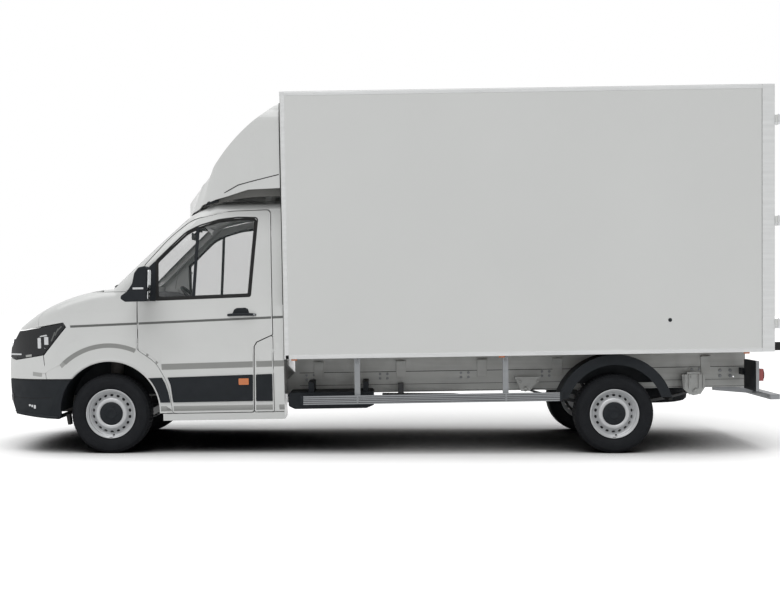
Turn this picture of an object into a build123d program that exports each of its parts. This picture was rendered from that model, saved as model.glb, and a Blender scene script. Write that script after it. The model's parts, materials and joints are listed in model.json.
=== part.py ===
from build123d import *
import math
import os

# A box truck: a van's cab on a ladder frame with a tall square load box behind it.
# Lengths are millimetres and angles degrees. x runs back from the front axle, y to the
# vehicle's right and z up from the road. "Left" is the driver's side.

os.makedirs("parts", exist_ok=True)

# ------------------------------------------------------------------ driving sizes

# Stance
wheelbase = 4490
track = 1770
hub_height = 353
rake = 0.9  # the sprung body leans nose down by this angle
nose_reach = 1003
tail_reach = 5957

# Wheels
tyre_width = 235
tyre_bead_radius = 205
rim_radius = 217
rim_width = 190
wheel_play = 0.3

# Cab
cab_back = 1554
cab_bottom = 285
cab_half_width = 1026
slab_side = 1022  # the flank is flat where its barrel would pass this
cab_edge_radius = 80
windscreen_base = (-60, 1462)
windscreen_top = (640, 2108)
roof_height = 2275
nose_sweep_centre = 4000  # the nose and windscreen curve round this station
cab_wall = 60
bonnet_wall = 30
nose_wall = 35
door_gap = 7
panel_gap = 4
lamp_inboard = 480
door_front = 268
glass_inset = 8
glass_thickness = 5
cab_floor = 640
step_floor = 480
step_inboard = 700
floor_wall = 30
firewall = 190
split_height = 673  # painted panels above, dark bumper below
bonnet_front = 1099
bonnet_back = 1456
wing_top = 1436
arch_radius = 440
arch_height = 381
wheelhouse_inner = 545

# Cab fittings
tow_eye_radius = 10
door_hinge = (265.2, -1022.5)  # the left door's hinge axis in plan
door_hinge_heights = (935, 1105)
door_hinge_length = 50
bonnet_hinge = (-74, 1425)  # the bonnet's hinge axis in side view
bonnet_pin_radius = 4
bonnet_rear = -62
bonnet_rear_half = 880
bonnet_front_half = 1065
bonnet_tip = -1200
cowl_front = -34  # the windscreen's surround starts here, clear of the bonnet's back edge
cowl_half = 850
flap_hinge = (1460.8, -1021.6)
flap_hinge_heights = (700, 880)
flap_wall = 35
flap_gap = 6
mirror_reach = 1340
mirror_inboard = 1160
driver_y = -400
seat_height = 930
seat_gap = 0.3
column_foot = (420, 1080)
column_length = 375
column_angle = 41.8
steering_rim_radius = 190

# Suspension and steering
ball_joint = (790, 215)  # steering axis at its foot: distance from the middle, height
strut_top = (655, 812)
ball_pin = 10

spindle_radius = 32.7
spindle_reach = 928
vent_circle = 158
vent_count = 18
spring_inner = 545
spring_outer = 615
spring_front = (3741, 490)
spring_back = (5302, 456)
spring_pin = 12
guard_radius = 525
guard_height = 287
fit_gap = 0.3  # between fixed pieces that meet

# Load box
box_front = 1565
box_length = 4315
box_width = 2200
box_base = 822
box_height = 2336
wall = 30
roof_wall = 40
floor_slab = 60
portal_depth = 110
portal_post = 70
rear_door_thickness = 40
rear_door_gap = 6
rear_centre_gap = 10
portal_sill = 909
portal_header = 108
hinge_pin_radius = 7
hinge_barrel_radius = 12
rear_hinge = (5908, 1113)  # the right rear door's hinge axis in plan
rear_hinge_heights = (1050, 1950, 2828)
fairing_wall = 12

# Chassis
rail_middle = 485
rail_width = 70
rail_height = 193
rail_top = 663
rail_wall = 6
rail_front = 250
cab_rail_top = 600
leg_front = -850
leg_bottom = 490
leg_top = 590
rail_back = 5790
leg_inner = 450
leg_outer = 510
cross_stations = (400, 1200, 1950, 2800, 3560, 4180, 4980, 5730)
spare_x = 5010
spare_low = 312
tow_bar_stations = (5560, 5680)
tow_bar_height = 566
tow_bar_hole = 6.5
lamp_panel = 5770

# Placing
through = 1300  # half of a cut that passes right across the vehicle
axle_to_middle = (tail_reach - nose_reach) / 2
box_back = box_front + box_length
box_top = box_base + box_height
box_side = box_width / 2
rear_x = wheelbase
wheel_y = track / 2
tyre_radius = hub_height

# ------------------------------------------------------------------ frames and helpers

tilt = math.radians(rake)
front_hub = Vector(-axle_to_middle, 0, hub_height)
sprung_up = Vector(-math.sin(tilt), 0, math.cos(tilt))
road = Plane(origin=(-axle_to_middle, 0, 0), x_dir=(1, 0, 0), z_dir=(0, 0, 1))
sprung = Plane(
    origin=front_hub - sprung_up * hub_height,
    x_dir=(math.cos(tilt), 0, math.sin(tilt)),
    z_dir=sprung_up,
)


def side(y, base=sprung):
    """A plane facing the vehicle's left, drawn with x back and z up."""
    return Plane(base.from_local_coords((0, y, 0)), x_dir=base.x_dir, z_dir=-base.y_dir)


def deck(z, base=sprung):
    """A level plane at a height, drawn with x back and y right."""
    return Plane(base.from_local_coords((0, 0, z)), x_dir=base.x_dir, z_dir=base.z_dir)


def kingpin(z):
    """How far the steering axis stands from the middle at a height."""
    lean = (ball_joint[0] - strut_top[0]) / (strut_top[1] - ball_joint[1])
    return ball_joint[0] - (z - ball_joint[1]) * lean


def station(x, base=sprung):
    """An upright plane across the vehicle, drawn with y right and z up."""
    return Plane(base.from_local_coords((x, 0, 0)), x_dir=base.y_dir, z_dir=base.x_dir)


def block(x0, x1, y0, y1, z0, z1, base=sprung, mode=Mode.ADD):
    """A block between two corners."""
    with BuildSketch(deck(z0, base)) as foot:
        with Locations(((x0 + x1) / 2, (y0 + y1) / 2)):
            Rectangle(x1 - x0, y1 - y0)
    extrude(foot.sketch, amount=z1 - z0, mode=mode)


def rod(start, end, radius, base=sprung, mode=Mode.ADD):
    """A round bar between two points."""
    a = base.from_local_coords(start)
    b = base.from_local_coords(end)
    with BuildSketch(Plane(a, z_dir=b - a)) as disc:
        Circle(radius)
    extrude(disc.sketch, amount=(b - a).length, mode=mode)


def plate(points, y0, y1, corner=0, base=sprung, mode=Mode.ADD):
    """A side-view outline carried across the vehicle from y0 to y1."""
    with BuildSketch(side(y0, base)) as outline:
        with BuildLine():
            Polyline(*points, close=True)
        make_face()
        if corner:
            fillet(outline.vertices(), radius=corner)
    extrude(outline.sketch, amount=y0 - y1, mode=mode)


def seat_block(left, right):
    """A cushion and a back between two sides, as plain soft solids."""
    cushion_top = seat_height + 140
    block(860, 1330, left, right, seat_height, cushion_top)
    plate([(1230, cushion_top + seat_gap), (1360, cushion_top + seat_gap), (1480, 1800), (1380, 1800)],
          left, right, corner=20)


def wheelhouses(radius, depth):
    """Clear the space round both front wheels, in to a depth from the middle."""
    for middle in (-1, 1):
        rod((0, middle * through, arch_height), (0, middle * depth, arch_height), radius,
            mode=Mode.SUBTRACT)
        block(-radius, radius, *sorted((middle * through, middle * depth)), 0, arch_height,
              mode=Mode.SUBTRACT)


def mirrored(part):
    """The same piece on the vehicle's other side."""
    return mirror(part, about=Plane.XZ)


# ------------------------------------------------------------------ the cab's shape


def cab_hull(inset):
    """The cab's closed outer shape, drawn in by an inset all round."""

    def drawn(across, up, angle):
        """An outline point moved in by the inset, along the shape's inward normal."""
        turn = math.radians(angle)
        return (across + inset * math.cos(turn), up + inset * math.sin(turn))

    def swept(x, z, angle=0, move=1):
        """A centreline point of the profile, as it is drawn beside the sweep axis."""
        turn = math.radians(angle)
        x += move * inset * math.cos(turn)
        return (x - nose_sweep_centre, z + move * inset * math.sin(turn))

    floor = cab_bottom + inset
    sweep_foot = sprung.from_local_coords((nose_sweep_centre, 0, 0))
    with BuildPart() as hull:
        # The side profile, carried half a turn round an upright axis far behind the nose
        with BuildSketch(Plane(sweep_foot, x_dir=sprung.y_dir, z_dir=sprung.x_dir)):
            with BuildLine():
                base = Line((0, floor), swept(-930 + inset, floor, move=0))
                chin = Line(base @ 1, swept(-990, 470, 10))
                nose = ThreePointArc(chin @ 1, swept(-nose_reach, 700, 0), swept(-985, 950, -15))
                lip = Line(nose @ 1, swept(-880, 1135, -35))
                bonnet_top = ThreePointArc(
                    lip @ 1, swept(-500, 1365, -63), swept(*windscreen_base, -65)
                )
                screen = ThreePointArc(
                    bonnet_top @ 1, swept(300, 1802, -48), swept(*windscreen_top, -53)
                )
                brow = ThreePointArc(
                    screen @ 1, swept(940, 2233, -70), swept(1300, roof_height + 15, -85)
                )
                crown = Line(brow @ 1, (0, roof_height + 90 - inset))
                Line(crown @ 1, base @ 0)
            make_face()
        revolve(axis=Axis(sweep_foot, -sprung.z_dir), revolution_arc=180)
        with BuildSketch(station(-1200)):
            with BuildLine():
                sill = Line((0, floor), (990 - inset, floor))
                flank = ThreePointArc(
                    sill @ 1, (cab_half_width - inset, 900), (900 - inset, roof_height - 80 - inset)
                )
                top = ThreePointArc(
                    flank @ 1, (450, roof_height - 17 - inset), (0, roof_height - inset)
                )
                mirror([sill, flank, top], about=Plane.YZ)
            make_face()
        extrude(amount=1200 + cab_back - inset, mode=Mode.INTERSECT)
        with BuildSketch(deck(0)):
            with BuildLine():
                flank = Line((cab_back + 50, slab_side - inset), (-350, slab_side - inset))
                corner = TangentArc(flank @ 1, drawn(-1050, 620, -45), tangent=(-1, 0))
                front = Line(corner @ 1, (-1250 + inset, 0))
                mirror([flank, corner, front], about=Plane.XZ)
                Line(flank @ 0, (cab_back + 50, inset - slab_side))
            make_face()
        extrude(amount=roof_height + 200, mode=Mode.INTERSECT)
        rim = []
        for edge in hull.edges():
            middle = sprung.to_local_coords(edge.center())
            normals = [f.normal_at(edge @ 0.5) for f in hull.faces() if edge in f.edges()]
            bend = normals[0].get_angle(normals[-1])
            high = middle.Z > 1150 and abs(middle.Y) > 600
            if high and bend > 25 and middle.X < cab_back - inset - 20:
                rim.append(edge)
        fillet(rim, radius=max(cab_edge_radius - inset, 12))
    return hull.part


def grown(points, gap):
    """An outline's corners, listed anticlockwise, moved outward by a gap."""
    moved = []
    for i, here in enumerate(points):
        before, after = points[i - 1], points[(i + 1) % len(points)]
        run = Vector(here[0] - before[0], here[1] - before[1]).normalized()
        turn = Vector(after[0] - here[0], after[1] - here[1]).normalized()
        out = Vector(run.Y + turn.Y, -run.X - turn.X) * (gap / (1 + run.dot(turn)))
        moved.append((here[0] + out.X, here[1] + out.Y))
    return moved


def outline(plane, points, radii, gap=0):
    """A face with rounded corners on a plane, grown by a gap."""
    with BuildSketch(plane) as face:
        with BuildLine():
            FilletPolyline(*grown(points, gap), radius=radii, close=True)
        make_face()
    return face.sketch


def door_outline(gap):
    """The door's outline on the flank, notched at its lower back corner for the filler flap."""
    points = [
        (1277, 353), (1289, 938), (1313, 977), (1457, 1041), (1450, 2143), (1080, 2135),
        (760, 2065), (560, 1912), (340, 1670), (door_front, 1348), (door_front, 916), (425, 805),
        (530, 600), (557, 353),
    ]
    radii = [20, 20, 20, 8, 35, 700, 350, 1100, 60, 80, 20, 300, 480, 25]
    return outline(side(-through), points, radii, gap)


def flap_outline(gap):
    """The filler flap's outline, behind the left door's lower part."""
    points = [(1458, 353), (1458, 1032), (1321, 970), (1298, 936), (1286, 353)]
    return outline(side(-through), points, [15] * 5, gap)


def window_outline():
    """The door's glazed opening on the flank."""
    points = [(1268, 1383), (1335, 2080), (1020, 2068), (740, 1978), (433, 1700), (433, 1362)]
    return outline(side(-through), points, [30, 40, 600, 250, 15, 15])


def headlamp_outline(gap):
    """The headlamp's outline on the flank."""
    points = [
        (-1100, 905), (-871, 843), (-585, 887), (-370, 1135), (-393, 1171), (-772, 1108),
        (-1100, 1085),
    ]
    return outline(side(-through), points, [5, 20, 60, 8, 8, 20, 5], gap)


def bonnet_outline(height, gap):
    """The bonnet's outline from above, wider towards the headlamps."""
    points = [
        (bonnet_tip, -bonnet_front_half), (bonnet_rear, -bonnet_rear_half),
        (bonnet_rear, bonnet_rear_half), (bonnet_tip, bonnet_front_half),
    ]
    return outline(deck(height), points, [5, 30, 30, 5], gap)


def windscreen_outline():
    """The windscreen's opening, seen from ahead."""
    points = [(-905, 1490), (905, 1490), (800, 2075), (-800, 2075)]
    return outline(station(-300), points, [60] * 4)


def cab_core(gap):
    """The space between the doors' inner faces, reaching out to a gap from them."""
    core = [
        (0, 200), (925 - gap, 200), (925 - gap, 1400), (835 - gap, 2200), (gap - 835, 2200),
        (gap - 925, 1400), (gap - 925, 200),
    ]
    with BuildSketch(station(200)) as face:
        with BuildLine():
            Polyline(*core, close=True)
        make_face()
    return face.sketch


cab_outer = cab_hull(0)
cab_inner = cab_hull(cab_wall)
bonnet_inner = cab_hull(bonnet_wall)
nose_inner = cab_hull(nose_wall)
recess_inner = cab_hull(flap_wall + 5)
glass_outer = cab_hull(glass_inset)
glass_inner = cab_hull(glass_inset + glass_thickness)

# ------------------------------------------------------------------ cab body

jamb_outer = cab_hull(cab_wall + 6)
jamb_inner = cab_hull(cab_wall + 40)

with BuildPart() as tub:
    block(firewall, cab_back, -step_inboard, step_inboard, cab_floor - floor_wall, cab_floor)
    # A step well inside each door
    for middle in (-1, 1):
        block(430, cab_back, *sorted((middle * (step_inboard - 20), middle * through)),
              step_floor - floor_wall, step_floor)
        block(430, cab_back, *sorted((middle * (step_inboard - 20), middle * step_inboard)),
              step_floor - floor_wall, cab_floor)
    block(firewall - floor_wall, firewall, -through, through, cab_floor - floor_wall, bonnet_back + 30)
    add(jamb_outer, mode=Mode.INTERSECT)
    wheelhouses(arch_radius + 20, wheelhouse_inner - 20)
    # Edges that meet the back wall and the sills
    block(cab_back - cab_wall - 10, cab_back - 20, -step_inboard, step_inboard, cab_floor - floor_wall,
          cab_floor)
    for middle in (-1, 1):
        block(cab_back - cab_wall - 10, cab_back - 20, *sorted((middle * step_inboard, middle * 900)),
              step_floor - floor_wall, step_floor)
        block(500, cab_back - 20, *sorted((middle * 860, middle * 880)), cab_bottom + 50,
              step_floor - floor_wall + 10)
    # Mounts that stand on the frame rails
    for x in (520, 1380):
        for middle in (-1, 1):
            block(x, x + 80, *sorted((middle * (rail_middle - 25), middle * (rail_middle + 25))),
                  cab_rail_top + fit_gap, cab_floor - floor_wall + 5)
    # Plinths under the seats
    for left, right in ((-640, -160), (-120, 640)):
        block(900, 1330, left, right, cab_floor, seat_height - seat_gap)

# The posts that the doors close against
with BuildPart() as jambs:
    add(jamb_outer)
    add(jamb_inner, mode=Mode.SUBTRACT)
    block(firewall - floor_wall, 330, -through, through, step_floor - floor_wall, bonnet_back + 10,
          mode=Mode.INTERSECT)
    wheelhouses(arch_radius + 20, wheelhouse_inner - 20)

with BuildPart() as recess:
    add(cab_outer)
    add(recess_inner, mode=Mode.SUBTRACT)
    extrude(flap_outline(flap_gap), amount=-through, mode=Mode.INTERSECT)

# What the two doors and their shut lines take from the cab's skin
with BuildPart() as door_space:
    extrude(door_outline(door_gap), amount=-2 * through)
    extrude(cab_core(door_gap), amount=cab_back, mode=Mode.SUBTRACT)

with BuildPart() as cab_body:
    add(cab_outer)
    add(cab_inner, mode=Mode.SUBTRACT)
    # Everything ahead of the doors and below the windscreen belongs to the nose.
    block(-1200, cowl_front, -through, through, 0, bonnet_back + 80, mode=Mode.SUBTRACT)
    block(-1200, door_front - door_gap, -through, through, 0, 1300, mode=Mode.SUBTRACT)
    for middle in (-1, 1):
        block(-1200, door_front - door_gap, *sorted((middle * cowl_half, middle * through)), 0,
              wing_top + panel_gap, mode=Mode.SUBTRACT)
    block(-1200, 590, -through, through, 353 - door_gap, 925, mode=Mode.SUBTRACT)
    block(-1200, 470, -through, through, 0, 400, mode=Mode.SUBTRACT)
    # Open below, between the sills
    block(-1200, cab_back + 10, 40 - step_inboard, step_inboard - 40, 0, cab_floor - floor_wall,
          mode=Mode.SUBTRACT)
    add(door_space.part, mode=Mode.SUBTRACT)
    extrude(windscreen_outline(), amount=1000, mode=Mode.SUBTRACT)
    # The recess behind the filler flap
    add(recess.part, mode=Mode.SUBTRACT)
    add(tub.part)
    add(jambs.part)
    # Door hinges: a leaf through the shut line with a pin at the skin
    for middle in (-1, 1):
        hinge_y = -middle * door_hinge[1]
        for low in door_hinge_heights:
            block(262.5, 265.5, min(hinge_y, middle * 950), max(hinge_y, middle * 950),
                  low, low + door_hinge_length)
            rod((door_hinge[0], hinge_y, low), (door_hinge[0], hinge_y, low + door_hinge_length), 2.5)
    # Filler flap hinges
    for low in flap_hinge_heights:
        block(flap_hinge[0] - 1, flap_hinge[0] + 3.5, flap_hinge[1], flap_hinge[1] + 30, low, low + 30)
        rod((*flap_hinge, low), (*flap_hinge, low + 30), 2.5)
cab_body.part.label = "cab_body"
export_step(cab_body.part, "parts/cab_body.step")

with BuildPart() as windscreen:
    add(glass_outer)
    add(glass_inner, mode=Mode.SUBTRACT)
    extrude(windscreen_outline(), amount=1000, mode=Mode.INTERSECT)
windscreen.part.label = "windscreen"
export_step(windscreen.part, "parts/windscreen.step")

# ------------------------------------------------------------------ nose

with BuildPart() as bonnet:
    add(cab_outer)
    add(bonnet_inner, mode=Mode.SUBTRACT)
    extrude(bonnet_outline(1000, 0), amount=600, mode=Mode.INTERSECT)
    plate(
        [(bonnet_tip, bonnet_front), (-772, 1108 + panel_gap), (-393, 1171 + panel_gap),
         (0, 1171 + panel_gap), (0, bonnet_back + 50), (bonnet_tip, bonnet_back + 50)],
        -through, through, mode=Mode.INTERSECT,
    )
    for middle in (-1, 1):
        rod((bonnet_hinge[0], middle * (bonnet_rear_half + 20), bonnet_hinge[1]),
            (bonnet_hinge[0], middle * (bonnet_rear_half - 35), bonnet_hinge[1]),
            bonnet_pin_radius + fit_gap, mode=Mode.SUBTRACT)
bonnet.part.label = "bonnet"
export_step(bonnet.part, "parts/bonnet.step")

with BuildPart() as wings:
    add(cab_outer)
    add(nose_inner, mode=Mode.SUBTRACT)
    plate(
        [(-585 + panel_gap, 880), (-370 + panel_gap, 1133), (-393, 1171 + panel_gap),
         (-772, 1108 + panel_gap), (-1200, 1095 + panel_gap), (-1200, wing_top),
         (door_front - door_gap, wing_top), (door_front - door_gap, 920), (590, 920), (590, 353),
         (0, 353), (0, split_height), (-560, split_height)],
        -through, through, mode=Mode.INTERSECT,
    )
    extrude(bonnet_outline(1100, panel_gap + 1), amount=600, mode=Mode.SUBTRACT)
    block(bonnet_rear - 10, door_front, -cowl_half - panel_gap, cowl_half + panel_gap, 1000, 1600,
          mode=Mode.SUBTRACT)
    # Room for the bonnet's back corners as they swing down
    swing = bonnet_rear_half + panel_gap + 1
    block(bonnet_rear - 10, cowl_front, -swing, swing, 1380, 1600, mode=Mode.SUBTRACT)
    extrude(door_outline(panel_gap), amount=-2 * through, mode=Mode.SUBTRACT)
    block(door_front - door_gap - 1, 1554, -through, through, 916, 1300, mode=Mode.SUBTRACT)
    wheelhouses(arch_radius, wheelhouse_inner)
    # Pins that the bonnet turns on
    for middle in (-1, 1):
        rod((bonnet_hinge[0], middle * (bonnet_rear_half + 20), bonnet_hinge[1]),
            (bonnet_hinge[0], middle * (bonnet_rear_half - 30), bonnet_hinge[1]), bonnet_pin_radius)
wings.part.label = "wings"
export_step(wings.part, "parts/wings.step")

with BuildPart() as headlamps:
    add(cab_outer)
    add(nose_inner, mode=Mode.SUBTRACT)
    extrude(headlamp_outline(-panel_gap), amount=-2 * through, mode=Mode.INTERSECT)
    block(-1200, 0, -lamp_inboard, lamp_inboard, 0, 1400, mode=Mode.SUBTRACT)
headlamps.part.label = "headlamps"
export_step(headlamps.part, "parts/headlamps.step")

with BuildPart() as grille:
    add(cab_outer)
    add(nose_inner, mode=Mode.SUBTRACT)
    block(-1200, -700, panel_gap - lamp_inboard, lamp_inboard - panel_gap, 845, 1095,
          mode=Mode.INTERSECT)
    for slot in range(4):
        low = 870 + slot * 52
        block(-1200, -700, 30 - lamp_inboard, lamp_inboard - 30, low, low + 26, mode=Mode.SUBTRACT)
grille.part.label = "grille"
export_step(grille.part, "parts/grille.step")

with BuildPart() as bumper_upper:
    add(cab_outer)
    add(nose_inner, mode=Mode.SUBTRACT)
    plate(
        [(-1200, 1090), (-1200, split_height), (-560 - panel_gap, split_height),
         (-585 - panel_gap, 887), (-700, 1090)],
        -through, through, mode=Mode.INTERSECT,
    )
    extrude(headlamp_outline(panel_gap), amount=-2 * through, mode=Mode.SUBTRACT)
    block(-1200, 0, -lamp_inboard, lamp_inboard, 841, 1200, mode=Mode.SUBTRACT)
    block(-1200, 0, -through, through, 950, 1200, mode=Mode.SUBTRACT)
bumper_upper.part.label = "bumper_upper"
export_step(bumper_upper.part, "parts/bumper_upper.step")

with BuildPart() as bumper:
    add(cab_outer)
    add(nose_inner, mode=Mode.SUBTRACT)
    plate(
        [(-1200, split_height - panel_gap), (-1200, 359), (-931, 359), (-654, 329), (-462, 313),
         (-438, 350), (-438, 430), (-320, split_height - panel_gap)],
        -through, through, mode=Mode.INTERSECT,
    )
    wheelhouses(arch_radius, wheelhouse_inner)
    # Lower air intake
    block(-1200, -700, -420, 420, 470, 610, mode=Mode.SUBTRACT)
    # Crash beam behind the skin, held by the frame's front legs
    block(-905, -855, -640, 640, 480, 580)
    for middle in (-1, 1):
        block(-960, -850, middle * 600 - 40, middle * 600 + 40, 490, 570)
    # Threaded socket for the towing eye, behind the intake
    rod((-935, 350, 535), (-860, 350, 535), 20)
    rod((-945, 350, 535), (-875, 350, 535), tow_eye_radius, mode=Mode.SUBTRACT)
bumper.part.label = "bumper"
export_step(bumper.part, "parts/bumper.step")

# ------------------------------------------------------------------ doors and their glass

with BuildPart() as door_left:
    add(cab_outer)
    add(cab_inner, mode=Mode.SUBTRACT)
    extrude(door_outline(0), amount=-through, mode=Mode.INTERSECT)
    extrude(cab_core(0), amount=cab_back, mode=Mode.SUBTRACT)
    extrude(window_outline(), amount=-through, mode=Mode.SUBTRACT)
door_left.part.label = "door_left"
export_step(door_left.part, "parts/door_left.step")

with BuildPart() as door_right:
    add(mirrored(door_left.part))
door_right.part.label = "door_right"
export_step(door_right.part, "parts/door_right.step")

with BuildPart() as door_glass_left:
    add(glass_outer)
    add(glass_inner, mode=Mode.SUBTRACT)
    extrude(window_outline(), amount=-through, mode=Mode.INTERSECT)
door_glass_left.part.label = "door_glass_left"
export_step(door_glass_left.part, "parts/door_glass_left.step")

with BuildPart() as door_glass_right:
    add(mirrored(door_glass_left.part))
door_glass_right.part.label = "door_glass_right"
export_step(door_glass_right.part, "parts/door_glass_right.step")

with BuildPart() as fuel_flap:
    add(cab_outer)
    add(nose_inner, mode=Mode.SUBTRACT)
    extrude(flap_outline(0), amount=-through, mode=Mode.INTERSECT)
fuel_flap.part.label = "fuel_flap"
export_step(fuel_flap.part, "parts/fuel_flap.step")

# Mirrors: a head held out from the door's front corner by a short arm
mirror_outline = [
    (200, 1352), (385, 1352), (385, 1640), (350, 1665), (290, 1650), (268, 1560), (250, 1480),
    (170, 1400),
]
with BuildPart() as mirror_left:
    plate(mirror_outline, -mirror_reach, -mirror_inboard, corner=14)
    block(290, 370, -mirror_inboard, -985, 1385, 1450)
    add(cab_outer, mode=Mode.SUBTRACT)
mirror_left.part.label = "mirror_left"
export_step(mirror_left.part, "parts/mirror_left.step")

with BuildPart() as mirror_right:
    add(mirrored(mirror_left.part))
mirror_right.part.label = "mirror_right"
export_step(mirror_right.part, "parts/mirror_right.step")

# ------------------------------------------------------------------ inside the cab

with BuildPart() as dashboard:
    plate(
        [(firewall + seat_gap, 980), (480, 960), (600, 1080), (640, 1240), (560, 1360), (320, 1430),
         (firewall + seat_gap, 1440)],
        -870, 870, corner=20,
    )
dashboard.part.label = "dashboard"
export_step(dashboard.part, "parts/dashboard.step")

column_tilt = math.radians(column_angle)
wheel_centre = (column_foot[0] + column_length * math.cos(column_tilt), driver_y,
                column_foot[1] + column_length * math.sin(column_tilt))
column_stop = 38 + fit_gap  # below the wheel's plane
with BuildPart() as steering_column:
    rod((column_foot[0], driver_y, column_foot[1]),
        (wheel_centre[0] - column_stop * math.cos(column_tilt), driver_y,
         wheel_centre[2] - column_stop * math.sin(column_tilt)), 32)
    add(dashboard.part, mode=Mode.SUBTRACT)
steering_column.part.label = "steering_column"
export_step(steering_column.part, "parts/steering_column.step")

wheel_face = Plane(
    sprung.from_local_coords(wheel_centre), x_dir=sprung.y_dir,
    z_dir=sprung.x_dir * math.cos(column_tilt) + sprung.z_dir * math.sin(column_tilt),
)
with BuildPart() as steering_wheel:
    with BuildSketch(Plane(wheel_face.origin, x_dir=wheel_face.x_dir, z_dir=-wheel_face.y_dir)):
        with Locations((steering_rim_radius, 0)):
            Circle(15)
    revolve(axis=Axis(wheel_face.origin, wheel_face.z_dir), revolution_arc=360)
    with BuildSketch(wheel_face.offset(-38)):
        Circle(62)
    extrude(amount=36)
    with BuildSketch(wheel_face.offset(-16)):
        with PolarLocations(0, 3, start_angle=-90):
            with Locations((115, 0)):
                Rectangle(130, 40)
    extrude(amount=16)
steering_wheel.part.label = "steering_wheel"
export_step(steering_wheel.part, "parts/steering_wheel.step")


with BuildPart() as driver_seat:
    seat_block(-640, -160)
driver_seat.part.label = "driver_seat"
export_step(driver_seat.part, "parts/driver_seat.step")

with BuildPart() as bench_seat:
    seat_block(-120, 640)
bench_seat.part.label = "bench_seat"
export_step(bench_seat.part, "parts/bench_seat.step")

# ------------------------------------------------------------------ nose carrier and liners

behind_nose = cab_hull(nose_wall + fit_gap)
with BuildPart() as nose_carrier:
    # A band behind the lamps, grille and painted bumper
    add(behind_nose)
    add(cab_hull(nose_wall + 16), mode=Mode.SUBTRACT)
    block(-1200, -470, -through, through, 600, 1092, mode=Mode.INTERSECT)
    for middle in (-1, 1):
        inner, outer = sorted((middle * leg_inner, middle * leg_outer))
        block(-937, leg_front + 60, inner, outer, leg_top + fit_gap, 660)
nose_carrier.part.label = "nose_carrier"
export_step(nose_carrier.part, "parts/nose_carrier.step")

with BuildPart() as front_liners:
    for middle in (-1, 1):
        inner, outer = sorted((middle * wheelhouse_inner, middle * 980))
        with BuildSketch(side(outer)) as arch:
            with Locations((0, arch_height)):
                Circle(arch_radius + 8)
                Circle(arch_radius + 2, mode=Mode.SUBTRACT)
            with Locations((0, arch_height - 600)):
                Rectangle(1200, 1200, mode=Mode.SUBTRACT)
        extrude(arch.sketch, amount=outer - inner)
        inner, outer = sorted((middle * wheelhouse_inner, middle * (wheelhouse_inner + 5)))
        with BuildSketch(side(outer)) as cheek:
            with Locations((0, arch_height)):
                Circle(arch_radius + 8)
            with Locations((0, arch_height)):
                Rectangle(1200, 2 * 110, mode=Mode.SUBTRACT)
            with Locations((0, arch_height - 600)):
                Rectangle(1200, 1200, mode=Mode.SUBTRACT)
        extrude(cheek.sketch, amount=outer - inner)
    add(behind_nose, mode=Mode.INTERSECT)
front_liners.part.label = "front_liners"
export_step(front_liners.part, "parts/front_liners.step")

# ------------------------------------------------------------------ engine and front suspension

with BuildPart() as front_subframe:
    block(-260, 220, -510, 510, 250, 320)
    for middle in (-1, 1):
        inner, outer = sorted((middle * leg_inner, middle * leg_outer))
        block(-230, -150, inner, outer, 320, leg_bottom - fit_gap)
        block(110, 190, inner, outer, 320, leg_bottom - fit_gap)
        # Lower arm out to the ball joint
        with BuildSketch(deck(190)) as arm:
            with BuildLine():
                Polyline((-150, middle * 480), (150, middle * 480), (38, middle * 815),
                         (-38, middle * 815), close=True)
            make_face()
        extrude(arm.sketch, amount=22)
        inner, outer = sorted((middle * 480, middle * 510))
        block(-150, 150, inner, outer, 190, 251)
        rod((0, middle * kingpin(200), 200), (0, middle * kingpin(245), 245), ball_pin, base=road)
front_subframe.part.label = "front_subframe"
export_step(front_subframe.part, "parts/front_subframe.step")

with BuildPart() as engine:
    block(-600, -60, -330, 330, 320 + fit_gap, 1020)
engine.part.label = "engine"
export_step(engine.part, "parts/engine.step")

with BuildPart() as knuckle_left:
    block(-45, 45, -835, -750, 228, 500, base=road)
    rod((0, -830, hub_height), (0, -spindle_reach, hub_height), spindle_radius, base=road)
    # Strut and spring along the steering axis
    rod((0, -ball_joint[0] + 50, 440), (0, -strut_top[0], strut_top[1]), 27, base=road)
    rod((0, -695, 625), (0, -strut_top[0] - 4, strut_top[1] - 18), 55, base=road)
    block(-36, 36, -790, -715, 430, 500, base=road)
    rod((0, -kingpin(190), 190), (0, -kingpin(262), 262), ball_pin + fit_gap, base=road,
        mode=Mode.SUBTRACT)
knuckle_left.part.label = "knuckle_left"
export_step(knuckle_left.part, "parts/knuckle_left.step")

with BuildPart() as knuckle_right:
    add(mirrored(knuckle_left.part))
knuckle_right.part.label = "knuckle_right"
export_step(knuckle_right.part, "parts/knuckle_right.step")

# ------------------------------------------------------------------ wheels

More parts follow.
